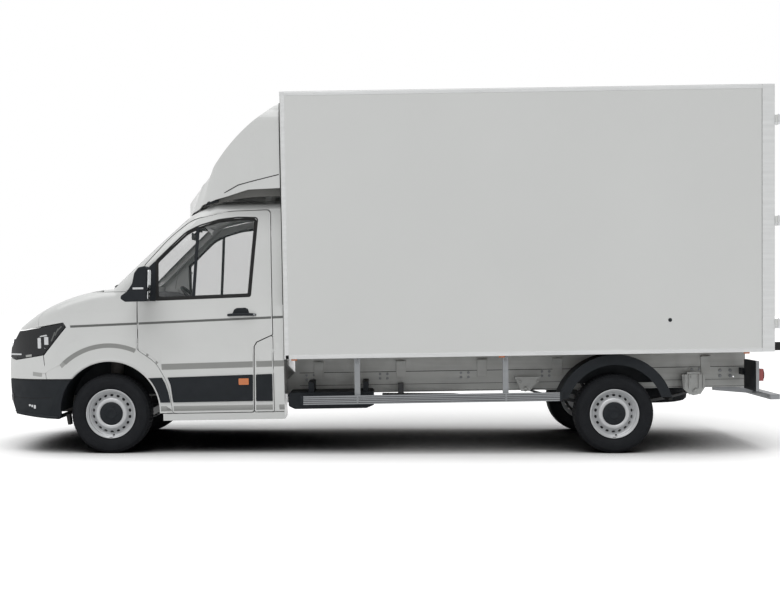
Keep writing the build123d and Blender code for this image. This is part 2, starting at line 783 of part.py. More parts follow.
# Sections are (distance outboard of the wheel's middle, radius).
tyre_half = tyre_width / 2
flange = rim_width / 2
tyre_section = [
    (flange - 12, tyre_bead_radius + 0.4), (flange - 12, rim_radius + 5), (flange + 5, rim_radius + 14),
    (tyre_half - 3, 262), (tyre_half, 290), (tyre_half - 8, 325), (tyre_half - 28, tyre_radius - 4),
    (tyre_half - 45, tyre_radius), (45 - tyre_half, tyre_radius), (28 - tyre_half, tyre_radius - 4),
    (8 - tyre_half, 325), (-tyre_half, 290), (3 - tyre_half, 262), (-flange - 5, rim_radius + 14),
    (12 - flange, rim_radius + 5), (12 - flange, tyre_bead_radius + 0.4),
]
rim_section = [
    (flange + 3, rim_radius + 2), (flange - 8, rim_radius + 2), (flange - 11, tyre_bead_radius),
    (56, tyre_bead_radius - 2), (42, 184), (-30, 184), (-50, 203), (11 - flange, tyre_bead_radius),
    (8 - flange, rim_radius + 2), (-flange - 3, rim_radius + 2), (-flange - 3, rim_radius - 5),
    (4 - flange, 208), (10 - flange, 199), (-56, 197), (-36, 178), (27, 178), (52, 145), (66, 135),
    (70, 128), (70, 110), (62, 104), (40, 100), (40, spindle_radius + wheel_play),
    (48, spindle_radius + wheel_play), (48, 96), (70, 99), (79, 107), (79, 132), (72, 141),
    (58, 150), (38, 178), (54, 197), (flange - 10, 199), (flange - 4, 208), (flange + 3, rim_radius - 5),
]
hub_section = [
    (39.7, spindle_radius + wheel_play), (39.7, 78), (-20, 78), (-20, 148), (-42, 148), (-42, 60),
    (-42, spindle_radius + wheel_play),
]


def wheel_plane(x, y, outward):
    """A plane through a wheel's axis, drawn with x outboard and y up."""
    middle = road.from_local_coords((x, y, hub_height))
    return Plane(middle, x_dir=(0, outward, 0), z_dir=(-outward, 0, 0))


def turned(section, plane):
    """A section turned round the wheel's axis."""
    with BuildSketch(plane) as face:
        with BuildLine():
            Polyline(*section, close=True)
        make_face()
    revolve(face.sketch, axis=Axis(plane.origin, plane.x_dir), revolution_arc=360)


def make_tyre(plane):
    with BuildPart() as tyre:
        turned(tyre_section, plane)
    return tyre.part


def make_rim(plane):
    """A pressed steel wheel with a ring of vents, and its hub and brake disc behind."""
    with BuildPart() as rim:
        turned(rim_section, plane)
        across = Plane(plane.origin, x_dir=plane.z_dir, z_dir=plane.x_dir)
        with BuildSketch(across) as vents:
            with PolarLocations(vent_circle, vent_count):
                SlotOverall(20, 19.9 - 5, rotation=90)
        extrude(vents.sketch, amount=flange, mode=Mode.SUBTRACT)
        turned(hub_section, plane)
    return rim.part


with BuildPart() as tyre_front_left:
    add(make_tyre(wheel_plane(0, -wheel_y, -1)))
tyre_front_left.part.label = "tyre_front_left"
export_step(tyre_front_left.part, "parts/tyre_front_left.step")

with BuildPart() as tyre_front_right:
    add(make_tyre(wheel_plane(0, wheel_y, 1)))
tyre_front_right.part.label = "tyre_front_right"
export_step(tyre_front_right.part, "parts/tyre_front_right.step")

with BuildPart() as tyre_rear_left:
    add(make_tyre(wheel_plane(rear_x, -wheel_y, -1)))
tyre_rear_left.part.label = "tyre_rear_left"
export_step(tyre_rear_left.part, "parts/tyre_rear_left.step")

with BuildPart() as tyre_rear_right:
    add(make_tyre(wheel_plane(rear_x, wheel_y, 1)))
tyre_rear_right.part.label = "tyre_rear_right"
export_step(tyre_rear_right.part, "parts/tyre_rear_right.step")

with BuildPart() as rim_front_left:
    add(make_rim(wheel_plane(0, -wheel_y, -1)))
rim_front_left.part.label = "rim_front_left"
export_step(rim_front_left.part, "parts/rim_front_left.step")

with BuildPart() as rim_front_right:
    add(make_rim(wheel_plane(0, wheel_y, 1)))
rim_front_right.part.label = "rim_front_right"
export_step(rim_front_right.part, "parts/rim_front_right.step")

with BuildPart() as rim_rear_left:
    add(make_rim(wheel_plane(rear_x, -wheel_y, -1)))
rim_rear_left.part.label = "rim_rear_left"
export_step(rim_rear_left.part, "parts/rim_rear_left.step")

with BuildPart() as rim_rear_right:
    add(make_rim(wheel_plane(rear_x, wheel_y, 1)))
rim_rear_right.part.label = "rim_rear_right"
export_step(rim_rear_right.part, "parts/rim_rear_right.step")

# ------------------------------------------------------------------ rear axle and springs

axle_drop = hub_height - rear_x * math.sin(tilt)  # the rear hub's height in the sprung frame
spring_seat = axle_drop + 40

with BuildPart() as rear_axle:
    rod((rear_x, -835, hub_height), (rear_x, 835, hub_height), 38, base=road)
    for middle in (-1, 1):
        rod((rear_x, middle * 830, hub_height), (rear_x, middle * spindle_reach, hub_height),
            spindle_radius, base=road)
        rod((rear_x, middle * 800, hub_height), (rear_x, middle * 836, hub_height), 70, base=road)
        inner, outer = sorted((middle * spring_inner, middle * spring_outer))
        block(rear_x - 60, rear_x + 60, inner, outer, axle_drop, spring_seat)
rear_axle.part.label = "rear_axle"
export_step(rear_axle.part, "parts/rear_axle.step")

with BuildPart() as leaf_springs:
    for middle in (-1, 1):
        inner, outer = sorted((middle * spring_inner, middle * spring_outer))
        with BuildSketch(side(outer)) as leaves:
            with BuildLine():
                low = ThreePointArc(
                    (spring_front[0], spring_front[1] - 8), (rear_x, spring_seat + 6),
                    (spring_back[0], spring_back[1] - 8),
                )
                high = ThreePointArc(
                    (spring_front[0], spring_front[1] + 8), (rear_x, spring_seat + 36),
                    (spring_back[0], spring_back[1] + 8),
                )
                Line(low @ 0, high @ 0)
                Line(low @ 1, high @ 1)
            make_face()
            with Locations(spring_front, spring_back):
                Circle(25)
            with Locations((rear_x, spring_seat + fit_gap + 25)):
                Rectangle(120, 50)
            with Locations(spring_front, spring_back):
                Circle(spring_pin + fit_gap, mode=Mode.SUBTRACT)
        extrude(leaves.sketch, amount=outer - inner)
leaf_springs.part.label = "leaf_springs"
export_step(leaf_springs.part, "parts/leaf_springs.step")

# ------------------------------------------------------------------ frame

rail_inner = rail_middle - rail_width / 2
rail_outer = rail_middle + rail_width / 2

with BuildPart() as chassis_frame:
    for middle in (-1, 1):
        web, lip = sorted((middle * rail_outer, middle * rail_inner))
        # The rail drops and thins where it passes under the cab.
        rail_side = [
            (rail_front, rail_top - rail_height), (rail_back, rail_top - rail_height),
            (rail_back, rail_top),
            (cab_back + 60, rail_top), (cab_back + 5, cab_rail_top), (rail_front, cab_rail_top),
        ]
        plate(rail_side, web, lip)
        hollow_inner, hollow_outer = sorted((middle * (rail_inner - 1), middle * (rail_outer - rail_wall)))
        hollow = [
            (rail_front + 60, rail_top - rail_height + rail_wall),
            (rail_back - 20, rail_top - rail_height + rail_wall),
            (rail_back - 20, rail_top - rail_wall), (cab_back + 63, rail_top - rail_wall),
            (cab_back + 8, cab_rail_top - rail_wall), (rail_front + 60, cab_rail_top - rail_wall),
        ]
        plate(hollow, hollow_inner, hollow_outer, mode=Mode.SUBTRACT)
        inner, outer = sorted((middle * leg_inner, middle * leg_outer))
        block(leg_front, rail_front + 20, inner, outer, leg_bottom, leg_top)
    # Crossmembers
    for x in cross_stations:
        low, high = (490, 580) if x < cab_back else (560, 650)
        block(x, x + 60, 3 - rail_outer, rail_outer - 3, low, high)
    # Spring hangers and their pins
    for middle in (-1, 1):
        inner, outer = sorted((middle * (spring_outer + 4), middle * (spring_outer + 12)))
        plate([(3640, 600), (3700, 470), (3780, 470), (3885, 600)], inner, outer)
        plate([(5225, 620), (5235, 430), (5280, 405), (5330, 415), (5345, 620)], inner, outer)
        for eye in (spring_front, spring_back):
            rod((eye[0], middle * (rail_outer - 3), eye[1]),
                (eye[0], middle * (spring_outer + 10), eye[1]), spring_pin)
        for x in (3655, 3860, 5240, 5325):
            rod((x, middle * (rail_outer - 3), 585), (x, middle * (spring_outer + 10), 585), 10)
    # Spare wheel hanger
    rod((spare_x, 0, spare_low + 30), (spare_x, 0, 565), 22)
    rod((spare_x, 0, spare_low + 30), (spare_x, 0, spare_low + tyre_width / 2 - 48 - fit_gap), 60)
    # Tow-bar bolt holes through the rail webs
    for middle in (-1, 1):
        for x in tow_bar_stations:
            rod((x, middle * (rail_outer - 20), tow_bar_height),
                (x, middle * (rail_outer + 20), tow_bar_height), tow_bar_hole, mode=Mode.SUBTRACT)
chassis_frame.part.label = "chassis_frame"
export_step(chassis_frame.part, "parts/chassis_frame.step")

with BuildPart() as subframe:
    for middle in (-1, 1):
        inner, outer = sorted((middle * rail_inner, middle * rail_outer))
        block(cab_back + 66, rail_back, inner, outer, rail_top + fit_gap, box_base - fit_gap)
    for x in (1700, 2450, 3200, 3950, 4700, 5400):
        block(x, x + 60, -rail_inner - 5, rail_inner + 5, 700, 800)
subframe.part.label = "subframe"
export_step(subframe.part, "parts/subframe.step")

with BuildPart() as spare_wheel:
    spare_plane = Plane(
        sprung.from_local_coords((spare_x, 0, spare_low + tyre_half)),
        x_dir=-sprung.z_dir, z_dir=sprung.x_dir,
    )
    turned(tyre_section, spare_plane)
    turned(rim_section, spare_plane)
spare_wheel.part.label = "spare_wheel"
export_step(spare_wheel.part, "parts/spare_wheel.step")

# ------------------------------------------------------------------ load box

inner_side = box_side - wall
portal_front = box_back - portal_depth

with BuildPart() as box_floor:
    block(box_front + wall + fit_gap, portal_front - fit_gap, -inner_side + fit_gap, inner_side - fit_gap,
          box_base, box_base + floor_slab)
box_floor.part.label = "box_floor"
export_step(box_floor.part, "parts/box_floor.step")

with BuildPart() as box_sides:
    for middle in (-1, 1):
        inner, outer = sorted((middle * inner_side, middle * box_side))
        block(box_front, portal_front - fit_gap, inner, outer, box_base, box_top - roof_wall - fit_gap)
box_sides.part.label = "box_sides"
export_step(box_sides.part, "parts/box_sides.step")

with BuildPart() as box_front_wall:
    block(box_front, box_front + wall, fit_gap - inner_side, inner_side - fit_gap,
          box_base, box_top - roof_wall - fit_gap)
box_front_wall.part.label = "box_front_wall"
export_step(box_front_wall.part, "parts/box_front_wall.step")

with BuildPart() as box_roof:
    block(box_front, portal_front - fit_gap, -box_side, box_side, box_top - roof_wall, box_top)
box_roof.part.label = "box_roof"
export_step(box_roof.part, "parts/box_roof.step")

with BuildPart() as rear_portal:
    block(portal_front, box_back, -box_side, box_side, box_base, box_top)
    block(portal_front - 10, box_back + 10, portal_post - box_side, box_side - portal_post,
          portal_sill, box_top - portal_header, mode=Mode.SUBTRACT)
    # Inner rebate that the doors close against
    for middle in (-1, 1):
        inner, outer = sorted((middle * (box_side - portal_post - 25), middle * (box_side - portal_post)))
        block(portal_front, box_back - rear_door_thickness - 12, inner, outer,
              portal_sill, box_top - portal_header)
    # Hinge brackets and pins at the outer corners
    for middle in (-1, 1):
        for low in rear_hinge_heights:
            inner, outer = sorted((middle * (box_side - 40), middle * rear_hinge[1]))
            block(box_back - 1, rear_hinge[0], inner, outer, low - 24, low - 2)
            rod((rear_hinge[0], middle * rear_hinge[1], low - 24),
                (rear_hinge[0], middle * rear_hinge[1], low - 2), hinge_barrel_radius)
            rod((rear_hinge[0], middle * rear_hinge[1], low - 4),
                (rear_hinge[0], middle * rear_hinge[1], low + 66), hinge_pin_radius)
rear_portal.part.label = "rear_portal"
export_step(rear_portal.part, "parts/rear_portal.step")

with BuildPart() as rear_door_left:
    block(box_back - rear_door_thickness, box_back, portal_post + rear_door_gap - box_side,
          -rear_centre_gap / 2, portal_sill + rear_door_gap, box_top - portal_header - rear_door_gap)
    for low in rear_hinge_heights:
        block(box_back - 1, box_back + 9, -rear_hinge[1], -780, low, low + 60)
        block(box_back, rear_hinge[0], -rear_hinge[1], 14 - rear_hinge[1], low, low + 60)
        rod((rear_hinge[0], -rear_hinge[1], low), (rear_hinge[0], -rear_hinge[1], low + 60),
            hinge_barrel_radius)
        rod((rear_hinge[0], -rear_hinge[1], low - 5), (rear_hinge[0], -rear_hinge[1], low + 70),
            hinge_pin_radius + fit_gap, mode=Mode.SUBTRACT)
    # Strap clears the post it passes over
    block(portal_front, box_back + fit_gap, -box_side - 20, portal_post + 1 - box_side, 900, 3100,
          mode=Mode.SUBTRACT)
rear_door_left.part.label = "rear_door_left"
export_step(rear_door_left.part, "parts/rear_door_left.step")

with BuildPart() as rear_door_right:
    add(mirrored(rear_door_left.part))
rear_door_right.part.label = "rear_door_right"
export_step(rear_door_right.part, "parts/rear_door_right.step")

# ------------------------------------------------------------------ roof fairing


def fairing_hull(inset):
    """The wind deflector's outer shape, drawn in by an inset at the front, sides and top."""
    with BuildPart() as hull:
        with BuildSketch(side(through)) as profile:
            with BuildLine():
                foot = Line((1553, 2000), (684 + inset, 2000))
                lip = Line(foot @ 1, (684 + inset, 2190))
                nose = ThreePointArc(
                    lip @ 1, (1069 + 0.8 * inset, 2752 - 0.6 * inset), (1553, 3125 - inset)
                )
                Line(nose @ 1, foot @ 0)
            make_face()
        extrude(profile.sketch, amount=2 * through)
        with BuildSketch(deck(1900)) as plan:
            with BuildLine():
                back = Line((1553, 1085 - inset), (1400, 1085 - inset))
                corner = TangentArc(back @ 1, (790 + 0.7 * inset, 770 - 0.7 * inset), tangent=(-1, 0))
                front = ThreePointArc(
                    corner @ 1, (684 + inset, 0), (790 + 0.7 * inset, 0.7 * inset - 770)
                )
                other = TangentArc((1400, inset - 1085), front @ 1, tangent=(-1, 0))
                Line((1553, inset - 1085), other @ 0)
                Line(back @ 0, (1553, inset - 1085))
            make_face()
        extrude(plan.sketch, amount=1400, mode=Mode.INTERSECT)
        with BuildSketch(station(600)) as section:
            with BuildLine():
                FilletPolyline(
                    (-1085 + inset, 1900), (1085 - inset, 1900), (1075 - inset, 3130 - inset),
                    (inset - 1075, 3130 - inset), radius=[5, 5, 180 - inset, 180 - inset], close=True,
                )
            make_face()
        extrude(section.sketch, amount=1000, mode=Mode.INTERSECT)
    return hull.part


over_roof = cab_hull(-fit_gap)
with BuildPart() as roof_fairing:
    add(fairing_hull(0))
    add(fairing_hull(fairing_wall), mode=Mode.SUBTRACT)
    plate([(500, 1900), (1600, 1900), (1600, 2325), (1273, 2314), (1000, 2240), (773, 2150),
           (683, 2094), (500, 2094)], -through, through, mode=Mode.SUBTRACT)
    # Stays down to the cab roof
    for middle in (-1, 1):
        inner, outer = sorted((middle * 560, middle * 600))
        block(1380, 1440, inner, outer, roof_height - 60, 3014)
    add(over_roof, mode=Mode.SUBTRACT)
roof_fairing.part.label = "roof_fairing"
export_step(roof_fairing.part, "parts/roof_fairing.step")

# ------------------------------------------------------------------ side guards, tank, exhaust

with BuildPart() as side_guards:
    for middle in (-1, 1):
        inner, outer = sorted((middle * 1045, middle * 1075))
        block(1703, 4010, inner, outer, 414, 490)
        inner, outer = sorted((middle * 1015, middle * 1046))
        for x in (2178, 3490):
            block(x, x + 50, inner, outer, 425, box_base - fit_gap)
side_guards.part.label = "side_guards"
export_step(side_guards.part, "parts/side_guards.step")

with BuildPart() as fuel_tank:
    plate([(1585, 395), (1640, 368), (2280, 368), (2348, 395), (2348, 512), (1585, 512)],
          -960, -rail_outer - 20, corner=18)
    for x in (1760, 2250):
        block(x, x + 50, -900, -rail_outer - fit_gap, 510, 600)
fuel_tank.part.label = "fuel_tank"
export_step(fuel_tank.part, "parts/fuel_tank.step")

with BuildPart() as exhaust:
    with BuildLine():
        run = FilletPolyline(
            *[sprung.from_local_coords(p) for p in
              ((2423, -640, 452), (3080, -640, 438), (3170, -730, 434))],
            radius=60,
        )
    with BuildSketch(Plane(run @ 0, z_dir=run % 0)):
        Circle(24)
    sweep(path=run)
    block(2570, 2620, -650, -rail_outer - fit_gap, 450, 560)
exhaust.part.label = "exhaust"
export_step(exhaust.part, "parts/exhaust.step")

# ------------------------------------------------------------------ rear guards, underrun, lamps

with BuildPart() as rear_mudguards:
    for middle in (-1, 1):
        inner, outer = sorted((middle * 760, middle * 1010))
        with BuildSketch(side(outer)) as band:
            with Locations((rear_x, guard_height)):
                Circle(guard_radius)
                Circle(guard_radius - 6, mode=Mode.SUBTRACT)
            with Locations((rear_x, guard_height - 500 + 140)):
                Rectangle(1400, 1000, mode=Mode.SUBTRACT)
        extrude(band.sketch, amount=outer - inner)
        inner, outer = sorted((middle * 1004, middle * 1010))
        with BuildSketch(side(outer)) as lip:
            with Locations((rear_x, guard_height)):
                Circle(guard_radius)
                Circle(guard_radius - 90, mode=Mode.SUBTRACT)
            with Locations((rear_x, guard_height - 500 + 140)):
                Rectangle(1400, 1000, mode=Mode.SUBTRACT)
        extrude(lip.sketch, amount=outer - inner)
        for x in (-330, 330):
            z = guard_height + math.sqrt(guard_radius**2 - x**2) - 14
            rod((rear_x + x, middle * (rail_outer + fit_gap), z - 60),
                (rear_x + x, middle * 770, z - 60), 14)
            block(rear_x + x - 20, rear_x + x + 20, *sorted((middle * 762, middle * 775)), z - 74, z + 4)
rear_mudguards.part.label = "rear_mudguards"
export_step(rear_mudguards.part, "parts/rear_mudguards.step")

with BuildPart() as rear_underrun:
    block(5869, 5954, -1010, 1010, 392, 437)
    for middle in (-1, 1):
        inner, outer = sorted((middle * 460, middle * 500))
        plate([(5500, 440), (5869, 405), (5880, 437), (5700, 469), (5500, 469)], inner, outer)
rear_underrun.part.label = "rear_underrun"
export_step(rear_underrun.part, "parts/rear_underrun.step")

with BuildPart() as lamp_carriers:
    for middle in (-1, 1):
        inner, outer = sorted((middle * 640, middle * 1005))
        block(lamp_panel - 26, lamp_panel, inner, outer, 467, 734)
        inner, outer = sorted((middle * (rail_outer + fit_gap), middle * 641))
        block(lamp_panel - 40, lamp_panel, inner, outer, 590, 650)
lamp_carriers.part.label = "lamp_carriers"
export_step(lamp_carriers.part, "parts/lamp_carriers.step")

with BuildPart() as tail_lamps:
    for middle in (-1, 1):
        inner, outer = sorted((middle * 690, middle * 990))
        block(lamp_panel + fit_gap, lamp_panel + 44, inner, outer, 557, 665)
tail_lamps.part.label = "tail_lamps"
export_step(tail_lamps.part, "parts/tail_lamps.step")

with BuildPart() as rear_buffers:
    for middle in (-1, 1):
        inner, outer = sorted((middle * 1030, middle * 1095))
        block(box_back + fit_gap, tail_reach, inner, outer, 833, 904)
rear_buffers.part.label = "rear_buffers"
export_step(rear_buffers.part, "parts/rear_buffers.step")
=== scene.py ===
import json
import math

import bmesh
import bpy
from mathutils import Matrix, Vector
from mathutils.bvhtree import BVHTree


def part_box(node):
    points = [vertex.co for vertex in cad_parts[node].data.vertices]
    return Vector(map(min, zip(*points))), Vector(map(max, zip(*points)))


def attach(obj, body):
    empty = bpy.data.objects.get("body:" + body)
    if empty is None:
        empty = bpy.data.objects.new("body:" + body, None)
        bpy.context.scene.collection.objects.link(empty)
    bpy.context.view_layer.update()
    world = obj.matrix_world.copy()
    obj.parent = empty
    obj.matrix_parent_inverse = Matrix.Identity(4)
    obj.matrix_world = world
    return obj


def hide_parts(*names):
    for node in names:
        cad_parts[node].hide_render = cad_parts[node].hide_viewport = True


# A box truck: finishes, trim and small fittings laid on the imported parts.
# Lengths in the sprung body are millimetres: x runs back from the front axle, y to the
# vehicle's right and z up from the road. at() turns them into the row's metres.

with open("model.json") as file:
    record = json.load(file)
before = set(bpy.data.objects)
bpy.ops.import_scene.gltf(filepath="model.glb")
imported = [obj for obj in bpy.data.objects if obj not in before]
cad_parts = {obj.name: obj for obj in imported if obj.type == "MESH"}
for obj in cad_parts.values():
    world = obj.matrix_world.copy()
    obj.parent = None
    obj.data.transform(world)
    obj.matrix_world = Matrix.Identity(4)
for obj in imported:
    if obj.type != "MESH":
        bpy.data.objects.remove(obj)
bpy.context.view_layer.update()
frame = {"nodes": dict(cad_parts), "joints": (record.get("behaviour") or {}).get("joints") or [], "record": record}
NODES = frame["nodes"]
JOINTS = {joint["name"]: joint for joint in frame["joints"]}

# ------------------------------------------------------------------ places

RAKE = math.radians(0.9)  # the sprung body leans nose down
HUB = Vector(JOINTS["wheel_front_left_spin"]["pos_m"])
REAR_HUB = Vector(JOINTS["wheel_rear_left_spin"]["pos_m"])
BOX_SIDE = 1100
BOX_FRONT, BOX_BACK = 1565, 5880
BOX_BASE, BOX_TOP = 822, 3158
ARCH_RADIUS, ARCH_HEIGHT = 440, 381
LEFT, RIGHT = -1, 1
SIDE_NAMES = {LEFT: "left", RIGHT: "right"}


def at(x, y, z):
    """A point of the sprung body, in the row's frame."""
    x, z = x / 1000, z / 1000 - HUB.z
    return Vector((
        HUB.x + x * math.cos(RAKE) - z * math.sin(RAKE), y / 1000,
        HUB.z + x * math.sin(RAKE) + z * math.cos(RAKE),
    ))


# ------------------------------------------------------------------ finishes


class Finish:
    """A principled material whose colour, gloss and relief vary over the surface."""

    def __init__(self, name, roughness, metallic=0.0, **sockets):
        self.material = bpy.data.materials.new(name)
        self.material.use_nodes = True
        self.nodes = self.material.node_tree.nodes
        self.links = self.material.node_tree.links
        self.shader = self.nodes["Principled BSDF"]
        self.shader.inputs["Metallic"].default_value = metallic
        self.roughness = roughness
        self.shader.inputs["Roughness"].default_value = roughness
        for socket, value in sockets.items():
            self.shader.inputs[socket.replace("_", " ")].default_value = value
        self.place = self.nodes.new("ShaderNodeTexCoord").outputs["Object"]
        self.height = None

    def noise(self, scale, detail=3.0, stretch=(1, 1, 1)):
        mapping = self.nodes.new("ShaderNodeMapping")
        mapping.inputs["Scale"].default_value = stretch
        self.links.new(self.place, mapping.inputs["Vector"])
        noise = self.nodes.new("ShaderNodeTexNoise")
        noise.inputs["Scale"].default_value = scale
        noise.inputs["Detail"].default_value = detail
        self.links.new(mapping.outputs["Vector"], noise.inputs["Vector"])
        return noise.outputs["Fac"]

    def ramp(self, factor, stops):
        ramp = self.nodes.new("ShaderNodeValToRGB")
        elements = ramp.color_ramp.elements
        while len(elements) < len(stops):
            elements.new(0.5)
        for element, (position, colour) in zip(elements, stops):
            element.position = position
            element.color = (*colour, 1) if len(colour) == 3 else colour
        self.links.new(factor, ramp.inputs["Fac"])
        return ramp.outputs["Color"]

    def colour(self, base, tone, scale, detail=3.0, stretch=(1, 1, 1)):
        dark = [c * (1 - tone) for c in base]
        light = [min(1, c * (1 + tone)) for c in base]
        paint = self.ramp(self.noise(scale, detail, stretch), [(0.3, dark), (0.7, light)])
        self.links.new(paint, self.shader.inputs["Base Color"])
        return self

    def wear(self, scale, spread):
        """Roughness that wanders either side of its mean."""
        span = self.nodes.new("ShaderNodeMapRange")
        span.inputs["From Min"].default_value = 0.3
        span.inputs["From Max"].default_value = 0.7
        span.inputs["To Min"].default_value = max(0.02, self.roughness - spread)
        span.inputs["To Max"].default_value = min(1, self.roughness + spread)
        self.links.new(self.noise(scale), span.inputs["Value"])
        self.links.new(span.outputs["Result"], self.shader.inputs["Roughness"])
        return self

    def relief(self, height, distance, strength=0.5):
        bump = self.nodes.new("ShaderNodeBump")
        bump.inputs["Distance"].default_value = distance
        bump.inputs["Strength"].default_value = strength
        self.links.new(height, bump.inputs["Height"])
        if self.height:
            self.links.new(self.height, bump.inputs["Normal"])
        self.height = bump.outputs["Normal"]
        self.links.new(self.height, self.shader.inputs["Normal"])
        return self

    def waves(self, scale, direction="Z", distortion=0.0):
        wave = self.nodes.new("ShaderNodeTexWave")
        wave.bands_direction = direction
        wave.inputs["Scale"].default_value = scale
        wave.inputs["Distortion"].default_value = distortion
        self.links.new(self.place, wave.inputs["Vector"])
        return wave.outputs["Fac"]


def grained(name, base, roughness, grain=0.0004, scale=900, tone=0.10, **sockets):
    sockets.setdefault("Specular_IOR_Level", 0.22)
    made = Finish(name, roughness, **sockets)
    made.colour(base, tone, 9).wear(14, 0.06)
    made.relief(made.noise(scale, 2), grain, 0.35)
    return made.material


def painted(name, base, roughness, tone=0.02, scale=2.5, **sockets):
    made = Finish(name, roughness, **sockets)
    made.colour(base, tone, scale, 4).wear(5, 0.04)
    made.relief(made.noise(350, 1), 0.00006, 0.15)
    return made.material


def rolled(name, base, roughness, metallic, tone=0.06):
    """Bare or thinly coated metal with a drawn grain along the vehicle."""
    made = Finish(name, roughness, metallic)
    made.colour(base, tone, 30, 4, stretch=(0.06, 1, 1)).wear(22, 0.08)
    made.relief(made.noise(500, 3, stretch=(0.05, 1, 1)), 0.0001, 0.3)
    return made.material


def woven(name, base):
    made = Finish(name, 0.85, Sheen_Weight=0.25, Sheen_Roughness=0.5)
    made.colour(base, 0.10, 22, 3)
    made.relief(made.waves(230, "Z", 0.4), 0.0004, 0.3)
    made.relief(made.waves(230, "Y", 0.4), 0.0004, 0.3)
    made.relief(made.noise(900, 2), 0.0002, 0.2)
    return made.material


def ply(name, base):
    made = Finish(name, 0.55)
    made.colour(base, 0.3, 7, 5, stretch=(0.15, 1, 1))
    made.relief(made.noise(260, 1), 0.0005, 0.5)
    return made.material


def glazing(name, base, alpha, coat=0.6, shine=0.5):
    made = Finish(name, 0.02, Alpha=alpha, Coat_Weight=coat, Coat_Roughness=0.02, Specular_IOR_Level=shine)
    made.colour(base, 0.12, 1.6).wear(3, 0.012)
    return made.material


FINISHES = {
    "white_paint": painted("white_paint", (0.67, 0.68, 0.67), 0.32, Coat_Weight=0.5, Coat_Roughness=0.06),
    "box_panel": painted("box_panel", (0.69, 0.70, 0.69), 0.42, tone=0.015, scale=0.8),
    "box_frame": rolled("box_frame", (0.66, 0.67, 0.67), 0.42, 0.35),
    "dark_plastic": grained("dark_plastic", (0.010, 0.0125, 0.0155), 0.6),
    "cabin_plastic": grained("cabin_plastic", (0.045, 0.046, 0.05), 0.6),
    "glass": glazing("glass", (0.05, 0.065, 0.065), 0.15),
    "lamp": glazing("lamp", (0.010, 0.011, 0.013), 1.0, 0.1, 0.25),
    "red_lamp": glazing("red_lamp", (0.30, 0.012, 0.010), 1.0),
    "tyre": grained("tyre", (0.008, 0.009, 0.011), 0.8, 0.0005, 420),
    "wheel_steel": painted("wheel_steel", (0.50, 0.51, 0.52), 0.38, Metallic=0.35),
    "frame_steel": painted("frame_steel", (0.03, 0.031, 0.034), 0.5, tone=0.15, scale=12),
    "frame_grey": rolled("frame_grey", (0.43, 0.44, 0.43), 0.5, 0.3),
    "cast": grained("cast", (0.10, 0.095, 0.09), 0.75, 0.001, 260, 0.2),
    "seat_fabric": woven("seat_fabric", (0.045, 0.048, 0.055)),
    "ply_floor": ply("ply_floor", (0.16, 0.10, 0.06)),
    "rubber": grained("rubber", (0.02, 0.02, 0.02), 0.8, 0.0006, 300),
    # Aluminium kept darker than bare metal to give the side guard's shade as well: part own colour, part painted
    # shade
    "alu": rolled("alu", (0.25, 0.26, 0.27), 0.42, 0.6),
}

for part in frame["record"]["subparts"]:
    for holder in NODES[part["node"]].material_slots:
        holder.material = FINISHES[part["material_slot"]]

# ------------------------------------------------------------------ mesh building


def ring_profile(centre, radius, steps, start=0.0, sweep=360.0):
    """Points of an arc in side view."""
    closed = abs(sweep - 360) < 1e-6
    count = steps if closed else steps + 1
    return [
        (centre[0] + radius * math.cos(math.radians(start + sweep * i / steps)),
         centre[1] + radius * math.sin(math.radians(start + sweep * i / steps)))
        for i in range(count)
    ]


